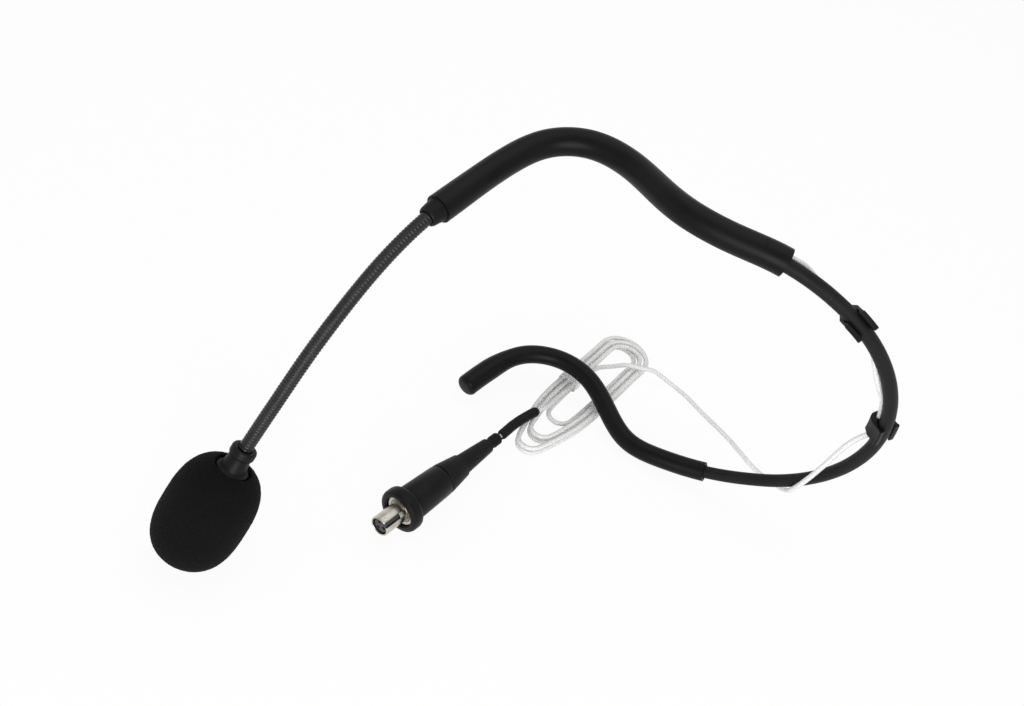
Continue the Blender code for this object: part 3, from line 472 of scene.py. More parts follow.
def finish(name, dark, light, rough, grain=1800, patch=90, bump=0.15, depth=0.0001, **fixed):
    """A Principled material: colour and roughness drift between two values, with a fine bumpy grain."""
    mat, tree, shader = new_material(name)
    surface = grain_node(tree, grain, patch)
    blend = tree.nodes.new("ShaderNodeValToRGB")
    for stop, place, colour in zip(blend.color_ramp.elements, PATCH_RANGE, (dark, light)):
        stop.position = place
        stop.color = (*colour, 1)
    relief = tree.nodes.new("ShaderNodeBump")
    relief.inputs["Strength"].default_value = bump
    relief.inputs["Distance"].default_value = depth
    tree.links.new(surface["Patch"], blend.inputs["Fac"])
    tree.links.new(blend.outputs["Color"], shader.inputs["Base Color"])
    tree.links.new(map_range(tree, surface["Patch"], rough, PATCH_RANGE), shader.inputs["Roughness"])
    tree.links.new(surface["Height"], relief.inputs["Height"])
    tree.links.new(relief.outputs["Normal"], shader.inputs["Normal"])
    for socket, value in fixed.items():
        shader.inputs[socket.replace("_", " ")].default_value = value
    return mat


def wear(obj, mat, body=None):
    """Give a piece its material and the body that it rides on."""
    obj.data.materials.clear()
    obj.data.materials.append(mat)
    if body:
        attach(obj, body)


def fit(obj, place, node, mat, body):
    """Put a finished piece in its place, where it stands for a node, and dress it."""
    settle(obj, place)
    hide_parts(node)
    wear(obj, mat, body)


print("grain group has", len(GRAIN.nodes), "nodes")

# %% The finishes of this headset
DULL = {"Specular_IOR_Level": 0.12}      # soft black polymers shine much less than hard gloss plastic
SLEEVE = finish("sleeve_satin", (0.0034, 0.0034, 0.0036), (0.0050, 0.0050, 0.0053), (0.36, 0.46), 2600, 60,
                0.10, **DULL)
BAND = finish("band_satin", (0.0085, 0.0085, 0.0090), (0.0120, 0.0120, 0.0125), (0.42, 0.55), 2200, 70,
              0.12, **DULL)
PLASTIC = finish("moulded_black", (0.0050, 0.0050, 0.0053), (0.0080, 0.0080, 0.0084), (0.34, 0.48), 3000,
                 120, 0.15, **DULL)
RUBBER = finish("boot_rubber", (0.0050, 0.0050, 0.0053), (0.0080, 0.0080, 0.0084), (0.45, 0.60), 2400, 110,
                0.20, **DULL)
SPRING = finish("gooseneck_plating", (0.028, 0.028, 0.030), (0.042, 0.042, 0.044), (0.20, 0.28), 3000, 200,
                0.05, Metallic=0.85)
FILLER = finish("gooseneck_filler", (0.016, 0.016, 0.017), (0.024, 0.024, 0.025), (0.40, 0.55), 3000, 200,
                0.10, Metallic=0.5)
NICKEL = finish("satin_nickel", (0.46, 0.43, 0.38), (0.62, 0.59, 0.53), (0.22, 0.36), 4000, 260, 0.08,
                Metallic=1.0)
INSERT = finish("insert_grey", (0.030, 0.031, 0.033), (0.048, 0.049, 0.052), (0.45, 0.6), 3500, 200, 0.2)
BRASS = finish("contact_gold", (0.62, 0.43, 0.15), (0.78, 0.58, 0.24), (0.2, 0.3), 4000, 300, 0.05,
               Metallic=1.0)
CAPSULE = finish("capsule_aluminium", (0.58, 0.57, 0.55), (0.70, 0.69, 0.67), (0.28, 0.42), 3600, 240, 0.1,
                 Metallic=1.0)
WIRE = finish("drawn_wire", (0.42, 0.42, 0.43), (0.6, 0.6, 0.61), (0.25, 0.4), 3600, 300, 0.1, Metallic=1.0)
print("finishes", len(bpy.data.materials))

# %% [markdown]
# ## The free cable
#
# The cable comes out of the nape clip, falls past the lower arm to the table, joins a flat coil and leaves
# it again for the plug. It is one thin clear jacket over a pale screened core, so it is made as two tubes
# on one line. The line is settled first, because everything lying on the table has to make room for it.


# %% The coil on the table
COIL_TURN = math.radians(64.7)
COIL_U = Vector((math.cos(COIL_TURN), math.sin(COIL_TURN), 0))
COIL_V = Vector((-math.sin(COIL_TURN), math.cos(COIL_TURN), 0))
COIL_UNDER, COIL_ASIDE = 0.08464, 0.0028     # below this point of the plain arm, and this far aside
under = to_table @ ARMS[1].at(ARM_END - COIL_UNDER)
COIL_MID = Vector((under.x, under.y, 0)) + COIL_V * COIL_ASIDE
COIL_HALF_WIDTH = 0.0124
COIL_RUN = 0.0341
COIL_TAPER, COIL_TAPER_FROM, COIL_TIP_R = 0.0500, -0.0050, 0.0050
STEP_GAP, LAYER_GAP = 0.0007, 0.00045
TABLE_GAP, TIE_WALL, TIE_GAP = 0.0001, 0.00025, 0.00015
COIL_STEP = CABLE_D + STEP_GAP
COIL_LAYER = CABLE_D + LAYER_GAP
LOW = TABLE_GAP + TIE_WALL + TIE_GAP + CABLE_D / 2
HIGH = LOW + COIL_LAYER
PER_LOOP = 48
RUN_SHARE = 6 / PER_LOOP


def on_coil(u, v, z):
    return COIL_MID + COIL_U * u + COIL_V * v + Vector((0, 0, z))


def coil_side(u, width):
    """Half width of one loop at a distance along the coil, drawn in towards the tip."""
    past = max(COIL_TAPER_FROM - u, 0.0) / COIL_TAPER
    return width - COIL_HALF_WIDTH * past * past


def loop_width(lap):
    """Half width of the winding: it steps only round the wide end, so each tip is one clean bend."""
    n = math.floor(lap)
    t = clamp((lap - n - 0.5 - RUN_SHARE) / (0.5 - RUN_SHARE))
    here, there = abs(n - 2.5), abs(n - 1.5)
    steps = here + (there - here) * ease(t)
    if n == 2:
        steps -= 0.5 * math.sin(math.pi * t)
    return COIL_HALF_WIDTH - COIL_STEP * steps


def loop_point(lap):
    """Point on one loop: down the left run, round the tip, up the right run and round."""
    width = loop_width(lap)
    p = lap % 1.0
    side = -1 if p >= 0.5 else 1
    p -= 0.5 if p >= 0.5 else 0.0
    swing = math.pi * (p - RUN_SHARE) / (0.5 - RUN_SHARE)
    if p > RUN_SHARE and side < 0:
        return COIL_RUN + width * math.sin(swing), -width * math.cos(swing)
    far, lean, bend = COIL_TAPER_FROM, 0.0, min(COIL_TIP_R, width)
    while coil_side(far, width) > bend * math.cos(lean):
        far -= 0.00002
        lean = math.atan(2 * COIL_HALF_WIDTH * (COIL_TAPER_FROM - far) / COIL_TAPER ** 2)
    tip = far + bend * math.sin(lean)
    if p <= RUN_SHARE:
        t = p / RUN_SHARE
        u = COIL_RUN + (far - COIL_RUN) * (t if side > 0 else 1 - t)
        return u, side * coil_side(u, width)
    a = lean + (1 - 2 * lean / math.pi) * swing
    return tip - bend * math.sin(a), bend * math.cos(a)


CLIMB_FROM, CLIMB_TO = 2.5 + RUN_SHARE, 3.0
FIRST_LAP, LAST_LAP = 0.0506, 5.098
coil_points = []
for lap in np.linspace(FIRST_LAP, LAST_LAP, round((LAST_LAP - FIRST_LAP) * PER_LOOP) + 1):
    u, v = loop_point(lap)
    climb = ease((lap - CLIMB_FROM) / (CLIMB_TO - CLIMB_FROM))
    coil_points.append(on_coil(u, v, LOW + COIL_LAYER * climb))
print("coil points", len(coil_points))

# %% From the nape to the coil, and from the coil to the plug
FALL = [
    (0.0085, 10.1, 0.00219), (0.0153, -7.7, 0.00397), (0.0257, -24.0, 0.00438), (0.0342, -41.3, 0.00468),
    (0.0413, -56.2, 0.00426), (0.0491, -90.3, 0.00103), (0.0521, -130.6, 0.00030), (0.0572, -192.3, 0.00399),
    (0.0638, -211.3, 0.01430),
]
lead_points = [to_table @ cable_at(s) for s in (FLEX_A, 0.006, 0.0, -0.00307)]
for s, bearing, room in FALL:
    here, ahead, up, inward = along(-s)
    away = inward * math.cos(math.radians(bearing)) + up * math.sin(math.radians(bearing))
    lead_points.append(to_table @ (here + away * (BAND_D / 2 + CABLE_D / 2 + room)))
FLOOR = CABLE_D / 2 + CLEAR
over = HIGH + CABLE_D + LAYER_GAP
for x, y, z in ((-0.0137, 0.0352, 0.0026), (-0.0170, 0.0393, 0.0004), (-0.0251, 0.0478, 0)):
    lead_points.append(Vector((NAPE.x + x, NAPE.y + y, FLOOR + z)))
LANDING = [
    (0.0275, -0.0599, FLOOR), (0.0334, -0.0421, FLOOR), (0.0368, -0.0322, FLOOR),
    (0.0375, -0.0250, FLOOR + 0.0006), (0.0360, -0.0192, 0.65 * over), (0.0334, -0.0155, over),
    (0.0308, -0.0120, over + 0.0002), (0.0288, -0.0080, over + 0.0001), (0.0272, -0.0042, 0.85 * over),
    (0.0250, -0.0002, 0.50 * over), (0.0212, 0.0040, LOW + 0.0004),
]
lead_points += [on_coil(*point) for point in LANDING]

PLUG_TURN = math.radians(60.8)
PLUG_AXIS = Vector((math.cos(PLUG_TURN), math.sin(PLUG_TURN), 0))
RING_D = 0.0174
BOOT_END = 0.0663
SHRINK_D = 0.0041
PLUG_AT = on_coil(-0.1188, 0.0124, RING_D / 2 + TABLE_GAP)
shrink_z = HIGH + CABLE_D / 2 + CLEAR + SHRINK_D / 2
last_dir = (coil_points[-1] - coil_points[-2]).normalized()
tail_in = PLUG_AT + PLUG_AXIS * (BOOT_END - 0.004)
tail_points = [coil_points[-1] + last_dir * 0.0056 + Vector((0, 0, 0.0002)),
               on_coil(-0.0215, 0.0052, HIGH + 0.0019), on_coil(-0.0265, 0.0058, shrink_z - 0.0001),
               on_coil(-0.0330, 0.0070, shrink_z + 0.0004), on_coil(-0.0420, 0.0079, shrink_z + 0.0008),
               PLUG_AT + PLUG_AXIS * (BOOT_END + 0.0022), tail_in, tail_in - PLUG_AXIS * 0.012]
cable_line = Line(lead_points + coil_points + tail_points)
CLIP_MIDDLE = 0.0063     # along the line, the middle of the nape clip, where the cable is let go
cable_path = [cable_line.at(s) for s in np.arange(CLIP_MIDDLE, cable_line.length, 0.0009)]


# %% Clear jacket and pale core
SKIN_IOR = 1.46
LIT_COVER = 0.15         # how much of the skin is left for light on its way to the core


def clear_skin(name, colour, face_on, edge_on, rough):
    """A thin clear skin: partly see-through face on, denser along its outline, and light goes through it."""
    mat, tree, shader = new_material(name)
    shader.inputs["Base Color"].default_value = (*colour, 1)
    shader.inputs["IOR"].default_value = SKIN_IOR
    surface = grain_node(tree, 900, 160)
    tree.links.new(map_range(tree, surface["Patch"], rough), shader.inputs["Roughness"])
    facing = tree.nodes.new("ShaderNodeLayerWeight")
    facing.inputs["Blend"].default_value = 0.5
    cover = map_range(tree, facing.outputs["Facing"], (face_on, edge_on))
    rays = tree.nodes.new("ShaderNodeLightPath").outputs
    lit = math_node(tree, "MAXIMUM", rays["Is Shadow Ray"], rays["Is Diffuse Ray"])
    density = math_node(tree, "MULTIPLY", cover, map_range(tree, lit, (1.0, LIT_COVER)))
    tree.links.new(density, shader.inputs["Alpha"])
    return mat


JACKET = clear_skin("clear_jacket", (0.74, 0.74, 0.735), 0.60, 0.85, (0.18, 0.32))
CORE = finish("pale_screen", (0.80, 0.80, 0.795), (0.85, 0.85, 0.845), (0.45, 0.6), 2600, 140, 0.02)

cable_jacket = path("cable_jacket", cable_path, CABLE_D, 12, keep_curve=True)
CORE_D = 0.0014
cable_core = path("cable_core", cable_path, CORE_D, 10)
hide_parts("cable_lead", "cable_coil", "cable_tail")
for piece, mat in ((cable_jacket, JACKET), (cable_core, CORE)):
    wear(piece, mat, "plain_arm")
print("cable core faces", len(cable_core.data.polygons))

# %% [markdown]
# ## The cable along the band
#
# Between the boom and the nape clip the cable is held against the neckband, and the neckband bends there.

# %% Held cable, neckband and spring wire
FLEX_START = to_table @ band_at(FLEX_A)
FLEX_STOP = to_table @ band_at(FLEX_B)


def bend_with(obj, mat, slot, body_a, body_b, start, end, *nodes):
    """Dress a piece, hide the nodes it stands for and work its place into its mesh."""
    wear(obj, mat)
    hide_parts(*nodes)
    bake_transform(obj)


def across_band(obj, mat, slot, *nodes):
    bend_with(obj, mat, slot, "plain_arm", "boom_arm", FLEX_START, FLEX_STOP, *nodes)


INNER_END = LEFT_FRONT - 0.0088
held = on_table(cable_at(s) for s in np.arange(0.0031, INNER_END, 0.0015))
held_jacket = path("held_jacket", held, CABLE_D, 12)
across_band(held_jacket, JACKET, "cable_clear", "cable_left", "cable_flex")
held_core = path("held_core", held, CORE_D, 10)
across_band(held_core, CORE, "cable_clear")
band_points = on_table(band_at(s) for s in np.arange(-BAND_END, BAND_END + 0.001, 0.0015))
neckband = path("neckband", band_points, BAND_D, 32)
across_band(neckband, BAND, "band_plastic", "neckband_right", "neckband_flex", "neckband_left")
wire_points = on_table(band_at(s) for s in np.arange(-PLAIN_TIP + 0.0115, INNER_END, 0.002))
core_wire = path("core_wire", wire_points, 0.002, 10)
across_band(core_wire, WIRE, "spring_steel", "core_wire_right", "core_wire_flex", "core_wire_left")
print("neckband mm", round(2000 * BAND_END, 1))

# %% [markdown]
# ## Ear hooks
#
# Each hook is a soft satin sleeve pulled over the band. The boom-side sleeve is thicker, because the cable
# runs inside it, and its square-cut rear end shows band and cable going in. The plain one swells a little
# down its front leg and ends in a round tip.


# %% The boom-side sleeve
def open_rear(sleeve, s, wall, depth, edge):
    """Open the square-cut rear end of a sleeve and soften its edges."""
    here, ahead, _, _ = along(s)
    hollow_end(sleeve, to_table @ here, (tilt @ ahead).normalized(), wall, depth)
    rounded(sleeve, edge, 2, 50)


SLEEVE_EASE, SLEEVE_WALL = 0.00005, 0.00055
LEFT_R = CABLE_OFF - BAND_DROP + CABLE_D / 2 + CLEAR + SLEEVE_EASE + SLEEVE_WALL
SLEEVE_TO = LEFT_FRONT + 0.0026      # the soft end reaches a little over the socket
marks = np.append(np.arange(SLEEVE_FROM, SLEEVE_TO - 0.001, 0.0015), SLEEVE_TO)
swell = [LEFT_R + 0.00015 * ease((s - LEFT_FRONT + 0.02) / 0.02) for s in marks]
sleeve_left = path("sleeve_left", on_table(along(s)[0] for s in marks), 2 * LEFT_R, 40, swell)
open_rear(sleeve_left, SLEEVE_FROM, wall=0.0005, depth=0.009, edge=0.00012)
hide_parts("ear_sleeve_left")
wear(sleeve_left, SLEEVE, "boom_arm")
print("boom-side sleeve mm", round(1000 * (LEFT_FRONT - SLEEVE_FROM), 1))

# %% The plain sleeve with its round tip
PLAIN_R, LEG_R, TIP_ROUND = 0.0039, 0.0046, 0.0020
HOOK_END = PLAIN_TIP + 0.0018        # the soft end reaches a little past the bar inside it
tip_base = HOOK_END - TIP_ROUND
marks = list(np.arange(SLEEVE_FROM, tip_base, 0.0015)) + [tip_base]
radii = [PLAIN_R + (LEG_R - PLAIN_R) * ease((s - (ARM_END - 0.047)) / 0.0141) for s in marks]
points = [along(-s)[0] for s in marks]
tip_ahead = along(-tip_base)[1]
corner = [(math.sin(math.pi / 20 * k), math.cos(math.pi / 20 * k)) for k in range(1, 11)]
blunt = [(TIP_ROUND * up, LEG_R - TIP_ROUND + TIP_ROUND * out) for up, out in corner]
blunt += [(TIP_ROUND + 0.0001, 0.5 * (LEG_R - TIP_ROUND)), (TIP_ROUND + 0.00015, 0.00004)]
for past, radius in blunt:
    points.append(along(-tip_base)[0] + tip_ahead * past)
    radii.append(radius)
sleeve_right = path("sleeve_right", on_table(points), 2 * PLAIN_R, 40, radii)
open_rear(sleeve_right, -SLEEVE_FROM, wall=0.0010, depth=0.008, edge=0.00015)
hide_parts("ear_sleeve_right", "hook_tip_right")
wear(sleeve_right, SLEEVE, "plain_arm")
print("plain sleeve mm", round(1000 * (PLAIN_TIP - SLEEVE_FROM), 1))

# %% [markdown]
# ## Boom
#
# A turned socket closes the front of the boom-side sleeve and holds the gooseneck, a tight winding of
# black-plated wire that stays where it is bent. Two halves of one winding are made, and a dark lining fills
# them.

# %% Socket
SPRING_R = 0.00248
front, front_ahead, _, _ = along(LEFT_FRONT)
socket = lathe("socket", [
    (0, -0.008), (LEFT_R - 0.00095, -0.008), (LEFT_R - 0.00095, 0.0020), (LEFT_R - 0.0006, 0.0027),
    (LEFT_R - 0.0008, 0.0034), (0.0036, 0.0072), (0.0034, 0.0077), (0.0031, 0.0080), (0.0027, 0.0080),
    (0.0026, 0.0074), (0, 0.0074),
], 64)
fit(socket, to_table @ frame_at(front, front_ahead), "boom_socket", PLASTIC, "boom_arm")
print("socket faces", len(socket.data.polygons))

# %% Gooseneck winding
BOOM_LENGTH = 0.0982
BOOM_SHAPE = [
    (0.007, 0.017, -0.061), (0.035, 0.047, -0.148), (0.069, 0.074, -0.231), (0.111, 0.100, -0.308),
    (0.183, 0.138, -0.419), (0.238, 0.164, -0.490), (0.301, 0.191, -0.559), (0.371, 0.219, -0.627),
    (0.445, 0.249, -0.692), (0.545, 0.289, -0.771),
]
boom_start = front + front_ahead * (0.006 + CLEAR)
boom = Line(on_table([boom_start] + [boom_start + Vector(f) * BOOM_LENGTH for f in BOOM_SHAPE]))
MID = boom.length / 2
WIND_D, WIND_PITCH, PER_TURN = 0.00116, 0.00119, 20


def winding(first, last):
    """Points of one unbroken helix round the boom between two distances."""
    normal = Vector((0, 1, 0))
    points = []
    count = int(boom.length / WIND_PITCH * PER_TURN)
    for k in range(count + 1):
        s = boom.length * k / count
        ahead = boom.heading(s)
        normal = (normal - ahead * normal.dot(ahead)).normalized()
        if first <= s <= last:
            a = 2 * math.pi * k / PER_TURN
            arm = normal * math.cos(a) + ahead.cross(normal) * math.sin(a)
            points.append(boom.at(s) + arm * (SPRING_R - WIND_D / 2))
    return points


BEND_BEFORE, BEND_AFTER = 0.009, 0.016   # how far each half's span reaches before and after its hinge
halves = (("rear", 0.0, MID, "boom_arm", "boom_rear"),
          ("front", MID, boom.length, "boom_rear", "boom_front"))
for half, first, last, body_a, body_b in halves:
    span = boom.at(first) - boom.heading(first) * BEND_BEFORE, boom.at(first + BEND_AFTER)
    coil = path("gooseneck_" + half, winding(first, last), WIND_D, 10)
    bend_with(coil, SPRING, "gooseneck_black", body_a, body_b, *span, "gooseneck_spring_" + half)
    run = [boom.at(s) for s in np.linspace(first, last, 30)]
    if half == "rear":
        run = [run[0] - boom.heading(0) * 0.0005] + run
    lining = path("gooseneck_lining_" + half, run, 2 * (SPRING_R - 0.00016), 32)
    bend_with(lining, FILLER, "gooseneck_black", body_a, body_b, *span, "gooseneck_core_" + half)
    print(half, "winding turns", round((last - first) / WIND_PITCH, 1))

# %% [markdown]
# ## Capsule and windscreen
#
# The gooseneck ends in a small collar with a flange, the capsule sits in front of it, and the foam
# windscreen is pushed over both. The foam is a fat egg with a dimple where the collar goes in. Its cells
# are far too small to model one by one, so a fine displacement gives it a rough outline and the material
# adds the pores.

# %% Collar
AIM = tilt @ Vector((0.752, 0.274, -0.600)).normalized()
seat = boom.at(boom.length) - AIM * (0.0012 - CLEAR)
capsule_frame = frame_at(seat, AIM)
FLANGE_AT, FLANGE_TO, FLANGE_R = 0.0090, 0.0110, 0.00575
collar = lathe("collar", [
    (0, 0.0012), (0.0027, 0.0012), (0.0027, 0.0001), (0.0029, 0), (0.0037, 0), (0.0042, 0.0003),
    (0.0044, 0.0009), (0.0044, 0.0027), (0.0042, 0.0031), (0.0038, 0.0034), (0.0040, 0.0060),
    (0.0046, 0.0083), (0.0053, 0.0088), (0.0056, FLANGE_AT), (FLANGE_R, FLANGE_AT + 0.0003),
    (FLANGE_R, FLANGE_TO - 0.0003), (0.0055, FLANGE_TO), (0, FLANGE_TO),
], 64, 25)
fit(collar, capsule_frame, "capsule_collar", PLASTIC, "boom_front")
print("collar faces", len(collar.data.polygons))

# %% Capsule
HOUSE_TOP, HOUSE_R = 0.0113, 0.0046
HOUSE_END = HOUSE_TOP + 0.0135
GROOVE_R, HOUSE_BORE = HOUSE_R - 0.00025, HOUSE_R - 0.0007
housing = lathe("capsule_can", [
    (0, HOUSE_TOP), (HOUSE_R - 0.0003, HOUSE_TOP), (HOUSE_R, HOUSE_TOP + 0.0003),
    (HOUSE_R, HOUSE_TOP + 0.0030), (GROOVE_R, HOUSE_TOP + 0.0032), (GROOVE_R, HOUSE_TOP + 0.0038),
    (HOUSE_R, HOUSE_TOP + 0.0040), (HOUSE_R, HOUSE_END), (HOUSE_BORE, HOUSE_END),
    (HOUSE_BORE, HOUSE_TOP + 0.001), (0, HOUSE_TOP + 0.001),
], 64)
fit(housing, capsule_frame, "capsule_housing", CAPSULE, "boom_front")

GRILLE_FROM, GRILLE_TO = HOUSE_END + 0.0003, HOUSE_END + 0.0009
grille = lathe("capsule_front", [
    (0, GRILLE_FROM), (HOUSE_R, GRILLE_FROM), (HOUSE_R, HOUSE_END + 0.0007), (HOUSE_R - 0.0002, GRILLE_TO),
    (0, GRILLE_TO),
], 64)
punch(grille, [(0, 0)] + spots_round(6, 0.0027), radius=0.0006, sides=20, depth=0.004,
      height=HOUSE_END + 0.0006)
fit(grille, capsule_frame, "capsule_grille", CAPSULE, "boom_front")
wear(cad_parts["capsule_element"], CAPSULE)
wear(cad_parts["capsule_gasket"], RUBBER)
print("grille faces", len(grille.data.polygons))

# %% Foam windscreen
FOAM_R, FOAM_TOP, FOAM_MIDDLE, FOAM_END, FOAM_FULL = 0.0151, 0.0076, 0.0287, 0.0488, 0.72
DIMPLE_R = 0.0074
egg = []
for k in range(49):
    a = math.pi * k / 48 - math.pi / 2
    reach = FOAM_MIDDLE - FOAM_TOP if a < 0 else FOAM_END - FOAM_MIDDLE
    high = math.copysign(abs(math.sin(a)) ** FOAM_FULL, a) * reach + FOAM_MIDDLE
    wide = FOAM_R * abs(math.cos(a)) ** FOAM_FULL
    if wide > DIMPLE_R or a > 0:
        egg.append((wide if k < 48 else 0, high))
mouth = egg[0][1]
pocket_r, pocket_end = HOUSE_R + 0.0003, HOUSE_END + 0.0012
profile = [(0, pocket_end), (pocket_r, pocket_end), (pocket_r, HOUSE_TOP + 0.0004), (0.0058, HOUSE_TOP),
           (0.00605, FLANGE_TO - 0.0004), (0.0061, FLANGE_AT + 0.0006), (0.0064, mouth - 0.0002),
           (0.0069, mouth - 0.0005)] + egg
foam = lathe("foam_windscreen", profile, 96, 60)
finer = foam.modifiers.new("finer", "SUBSURF")
finer.levels = finer.render_levels = 2
cells = bpy.data.textures.new("foam_cells", "CLOUDS")
cells.noise_scale = 0.0011
cells.noise_depth = 2
rough = foam.modifiers.new("rough", "DISPLACE")
rough.texture = cells
rough.strength = 0.00022
rough.mid_level = 0.55
apply_modifiers(foam)
settle(foam, capsule_frame)
for vertex in foam.data.vertices:      # soft foam lies flat where it meets the table
    vertex.co.z = max(vertex.co.z, 0.0)
FOAM = finish("open_cell_foam", (0.0012, 0.0012, 0.0013), (0.0040, 0.0041, 0.0044), (0.9, 1.0), 2400, 1500,
              0.9, 0.0004, Specular_IOR_Level=0.15)
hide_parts("windscreen")
wear(foam, FOAM, "windscreen")
print("foam faces", len(foam.data.polygons))

# %% [markdown]
# ## Cable clips
#
# Two snap-on clips hold the cable to the band. Each has a keyhole section, a wide mouth with two lips for
# the band and a small round behind it for the cable, and it follows the curve of the nape. The section is
# drawn point by point, filled, and spun through the clip's length about the middle of that curve.


# %% Clip
def keyhole_clip(name, node, at_degrees, lobe, length, lip, body):
    """A clip at an angle round the nape, its cable lobe turned up by lobe degrees, its lips longer by lip."""
    bore = BAND_D / 2 + CLEAR
    lobe_r = CABLE_D / 2 + CLEAR
    mouth = 0.0019
    side = bore + 0.00095
    back = CABLE_OFF + lobe_r + 0.0010
    neck = (CABLE_OFF ** 2 + bore ** 2 - lobe_r ** 2) / (2 * CABLE_OFF)
    half = [(-bore - lip, mouth + 0.0004)]
    a0 = math.atan2(mouth, -math.sqrt(bore ** 2 - mouth ** 2))
    a1 = math.acos(neck / bore)
    half += [(bore * math.cos(a), bore * math.sin(a)) for a in np.linspace(a0, a1, 14)]
    b0 = math.acos((neck - CABLE_OFF) / lobe_r)
    half += [(CABLE_OFF + lobe_r * math.cos(a), lobe_r * math.sin(a)) for a in np.linspace(b0, 0, 9)[1:]]
    outside = [(back, 0.0013), (back - 0.0009, 0.0027), (CABLE_OFF - 0.0012, side),
               (-bore + 0.0012 - lip, side), (-bore + 0.0005 - lip, side + 0.0003),
               (-bore - 0.0001 - lip, side + 0.0001)]
    section = half + [(q, -p) for q, p in half[-2::-1]] + [(q, -p) for q, p in outside[::-1]] + outside
    r = math.radians(lobe)
    span = length / NAPE_R
    a = math.radians(at_degrees) - span / 2
    here = Vector((-NAPE_R * math.sin(a), NAPE_R * (1 - math.cos(a)), 0))
    inward, up = Vector((math.sin(a), math.cos(a), 0)), Vector((0, 0, 1))
    deep = inward * math.cos(r) + up * math.sin(r)
    wide = up * math.cos(r) - inward * math.sin(r)
    points = [here + deep * q + wide * p for q, p in section]
    clip = draw_outline(name, points + points[:1])
    bpy.ops.mesh.remove_doubles(threshold=1e-6)
    bpy.ops.mesh.edge_face_add()
    bpy.ops.mesh.spin(steps=6, angle=span, center=(0, NAPE_R, 0), axis=(0, 0, 1))
    tidy_mesh(clip)
    settle(clip, to_table)
    rounded(clip, 0.00030, 3, 25)
    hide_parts(node)
    wear(clip, PLASTIC, body)
    print(name, "faces", len(clip.data.polygons))


keyhole_clip("band_clip_left", "clip_left", CLIP_LEFT_AT, LOBE_LEFT, 0.0074, 0.0008, "clip_left")
keyhole_clip("band_clip_nape", "clip_nape", CLIP_NAPE_AT, LOBE_NAPE, 0.0081, -0.0004, "clip_nape")

# %% [markdown]
# ## Plug
#
# The cable ends in a small screw-ring plug. All its pieces are turned about one axis: a nickel nose with a
# keyway and a grey insert, a coupling ring that turns freely, a back shell, and a stepped rubber boot.

# %% Nose, insert and contacts
plug_frame = frame_at(PLUG_AT, PLUG_AXIS)
NOSE_R, RING_FROM, RING_TO = 0.0039, 0.0093, 0.0143
NOSE_BORE, NOSE_END = NOSE_R - 0.0006, 0.0243
nose = lathe("nose", [
    (NOSE_BORE, 0.0001), (NOSE_R - 0.0005, 0), (NOSE_R - 0.0002, 0), (NOSE_R, 0.0002), (NOSE_R, NOSE_END),
    (NOSE_BORE, NOSE_END),
], 96)
only()
KEY_TURN, KEY_WIDTH, KEY_DEPTH = math.radians(135), 0.0020, 0.0072
key_at = Vector((math.cos(KEY_TURN), math.sin(KEY_TURN), 0)) * NOSE_R
bpy.ops.mesh.primitive_cube_add(size=1, location=key_at, rotation=(0, 0, KEY_TURN),
                                scale=(NOSE_R, KEY_WIDTH, 2 * KEY_DEPTH))
key = bpy.context.object
cut(nose, key)
bpy.data.objects.remove(key, do_unlink=True)
rounded(nose, 0.0001, 2, 40)
fit(nose, plug_frame, "plug_shell", NICKEL, "plain_arm")

INSERT_R, INSERT_END = 0.0029, 0.012
PINS = spots_round(3, 0.0016, 60)
insert = lathe("nose_insert", [
    (0, 0.0006), (0.0026, 0.0006), (INSERT_R, 0.0008), (INSERT_R, INSERT_END), (0, INSERT_END),
], 64)
punch(insert, PINS, radius=0.00072, sides=24, depth=0.008, height=0.002)
fit(insert, plug_frame, "plug_insert", INSERT, "plain_arm")
contact = lathe("contact_1", [(0.0002, 0.0016), (0.00035, 0.0015), (0.00042, 0.0016), (0.00042, 0.0059),
                              (0.0002, 0.0059)], 20)
contacts = [contact]
for k in (2, 3):
    only(contact)
    bpy.ops.object.duplicate()
    copy = bpy.context.object
    copy.name = copy.data.name = "contact_%d" % k
    contacts.append(copy)
for k, (x, y) in enumerate(PINS):
    fit(contacts[k], plug_frame @ Matrix.Translation((x, y, 0)), "plug_contact_%d" % (k + 1), BRASS,
        "plain_arm")
print("nose faces", len(nose.data.polygons))

# %% Coupling ring and its thread
RING_R = RING_D / 2
RING_BORE = 0.0061
ring = lathe("coupling", [
    (RING_BORE, RING_FROM + 0.0004), (0.0064, RING_FROM), (RING_R - 0.0016, RING_FROM),
    (RING_R - 0.0008, RING_FROM + 0.0002), (RING_R - 0.0003, RING_FROM + 0.0006),
    (RING_R, RING_FROM + 0.0014), (RING_R, RING_TO - 0.0012), (RING_R - 0.0002, RING_TO - 0.0005),
    (RING_R - 0.0007, RING_TO), (RING_BORE, RING_TO),
], 96, 30)
fit(ring, plug_frame, "coupling_ring", PLASTIC, "coupling")
LINER_FROM = RING_FROM + 0.0014
THREAD_PITCH = 0.0005
outline = [(0.0058, LINER_FROM), (0.0058, RING_TO), (0.0045, RING_TO)]
z = RING_TO - 0.0002
while z > LINER_FROM + 0.0007:
    outline += [(0.0046, z), (0.0049, z - THREAD_PITCH / 2), (0.0046, z - THREAD_PITCH)]
    z -= THREAD_PITCH
outline += [(0.0047, LINER_FROM + 0.0002), (0.0050, LINER_FROM)]
thread = lathe("coupling_liner", outline, 64)
fit(thread, plug_frame, "coupling_thread", NICKEL, "coupling")
print("ring mm", round(2000 * RING_R, 1))

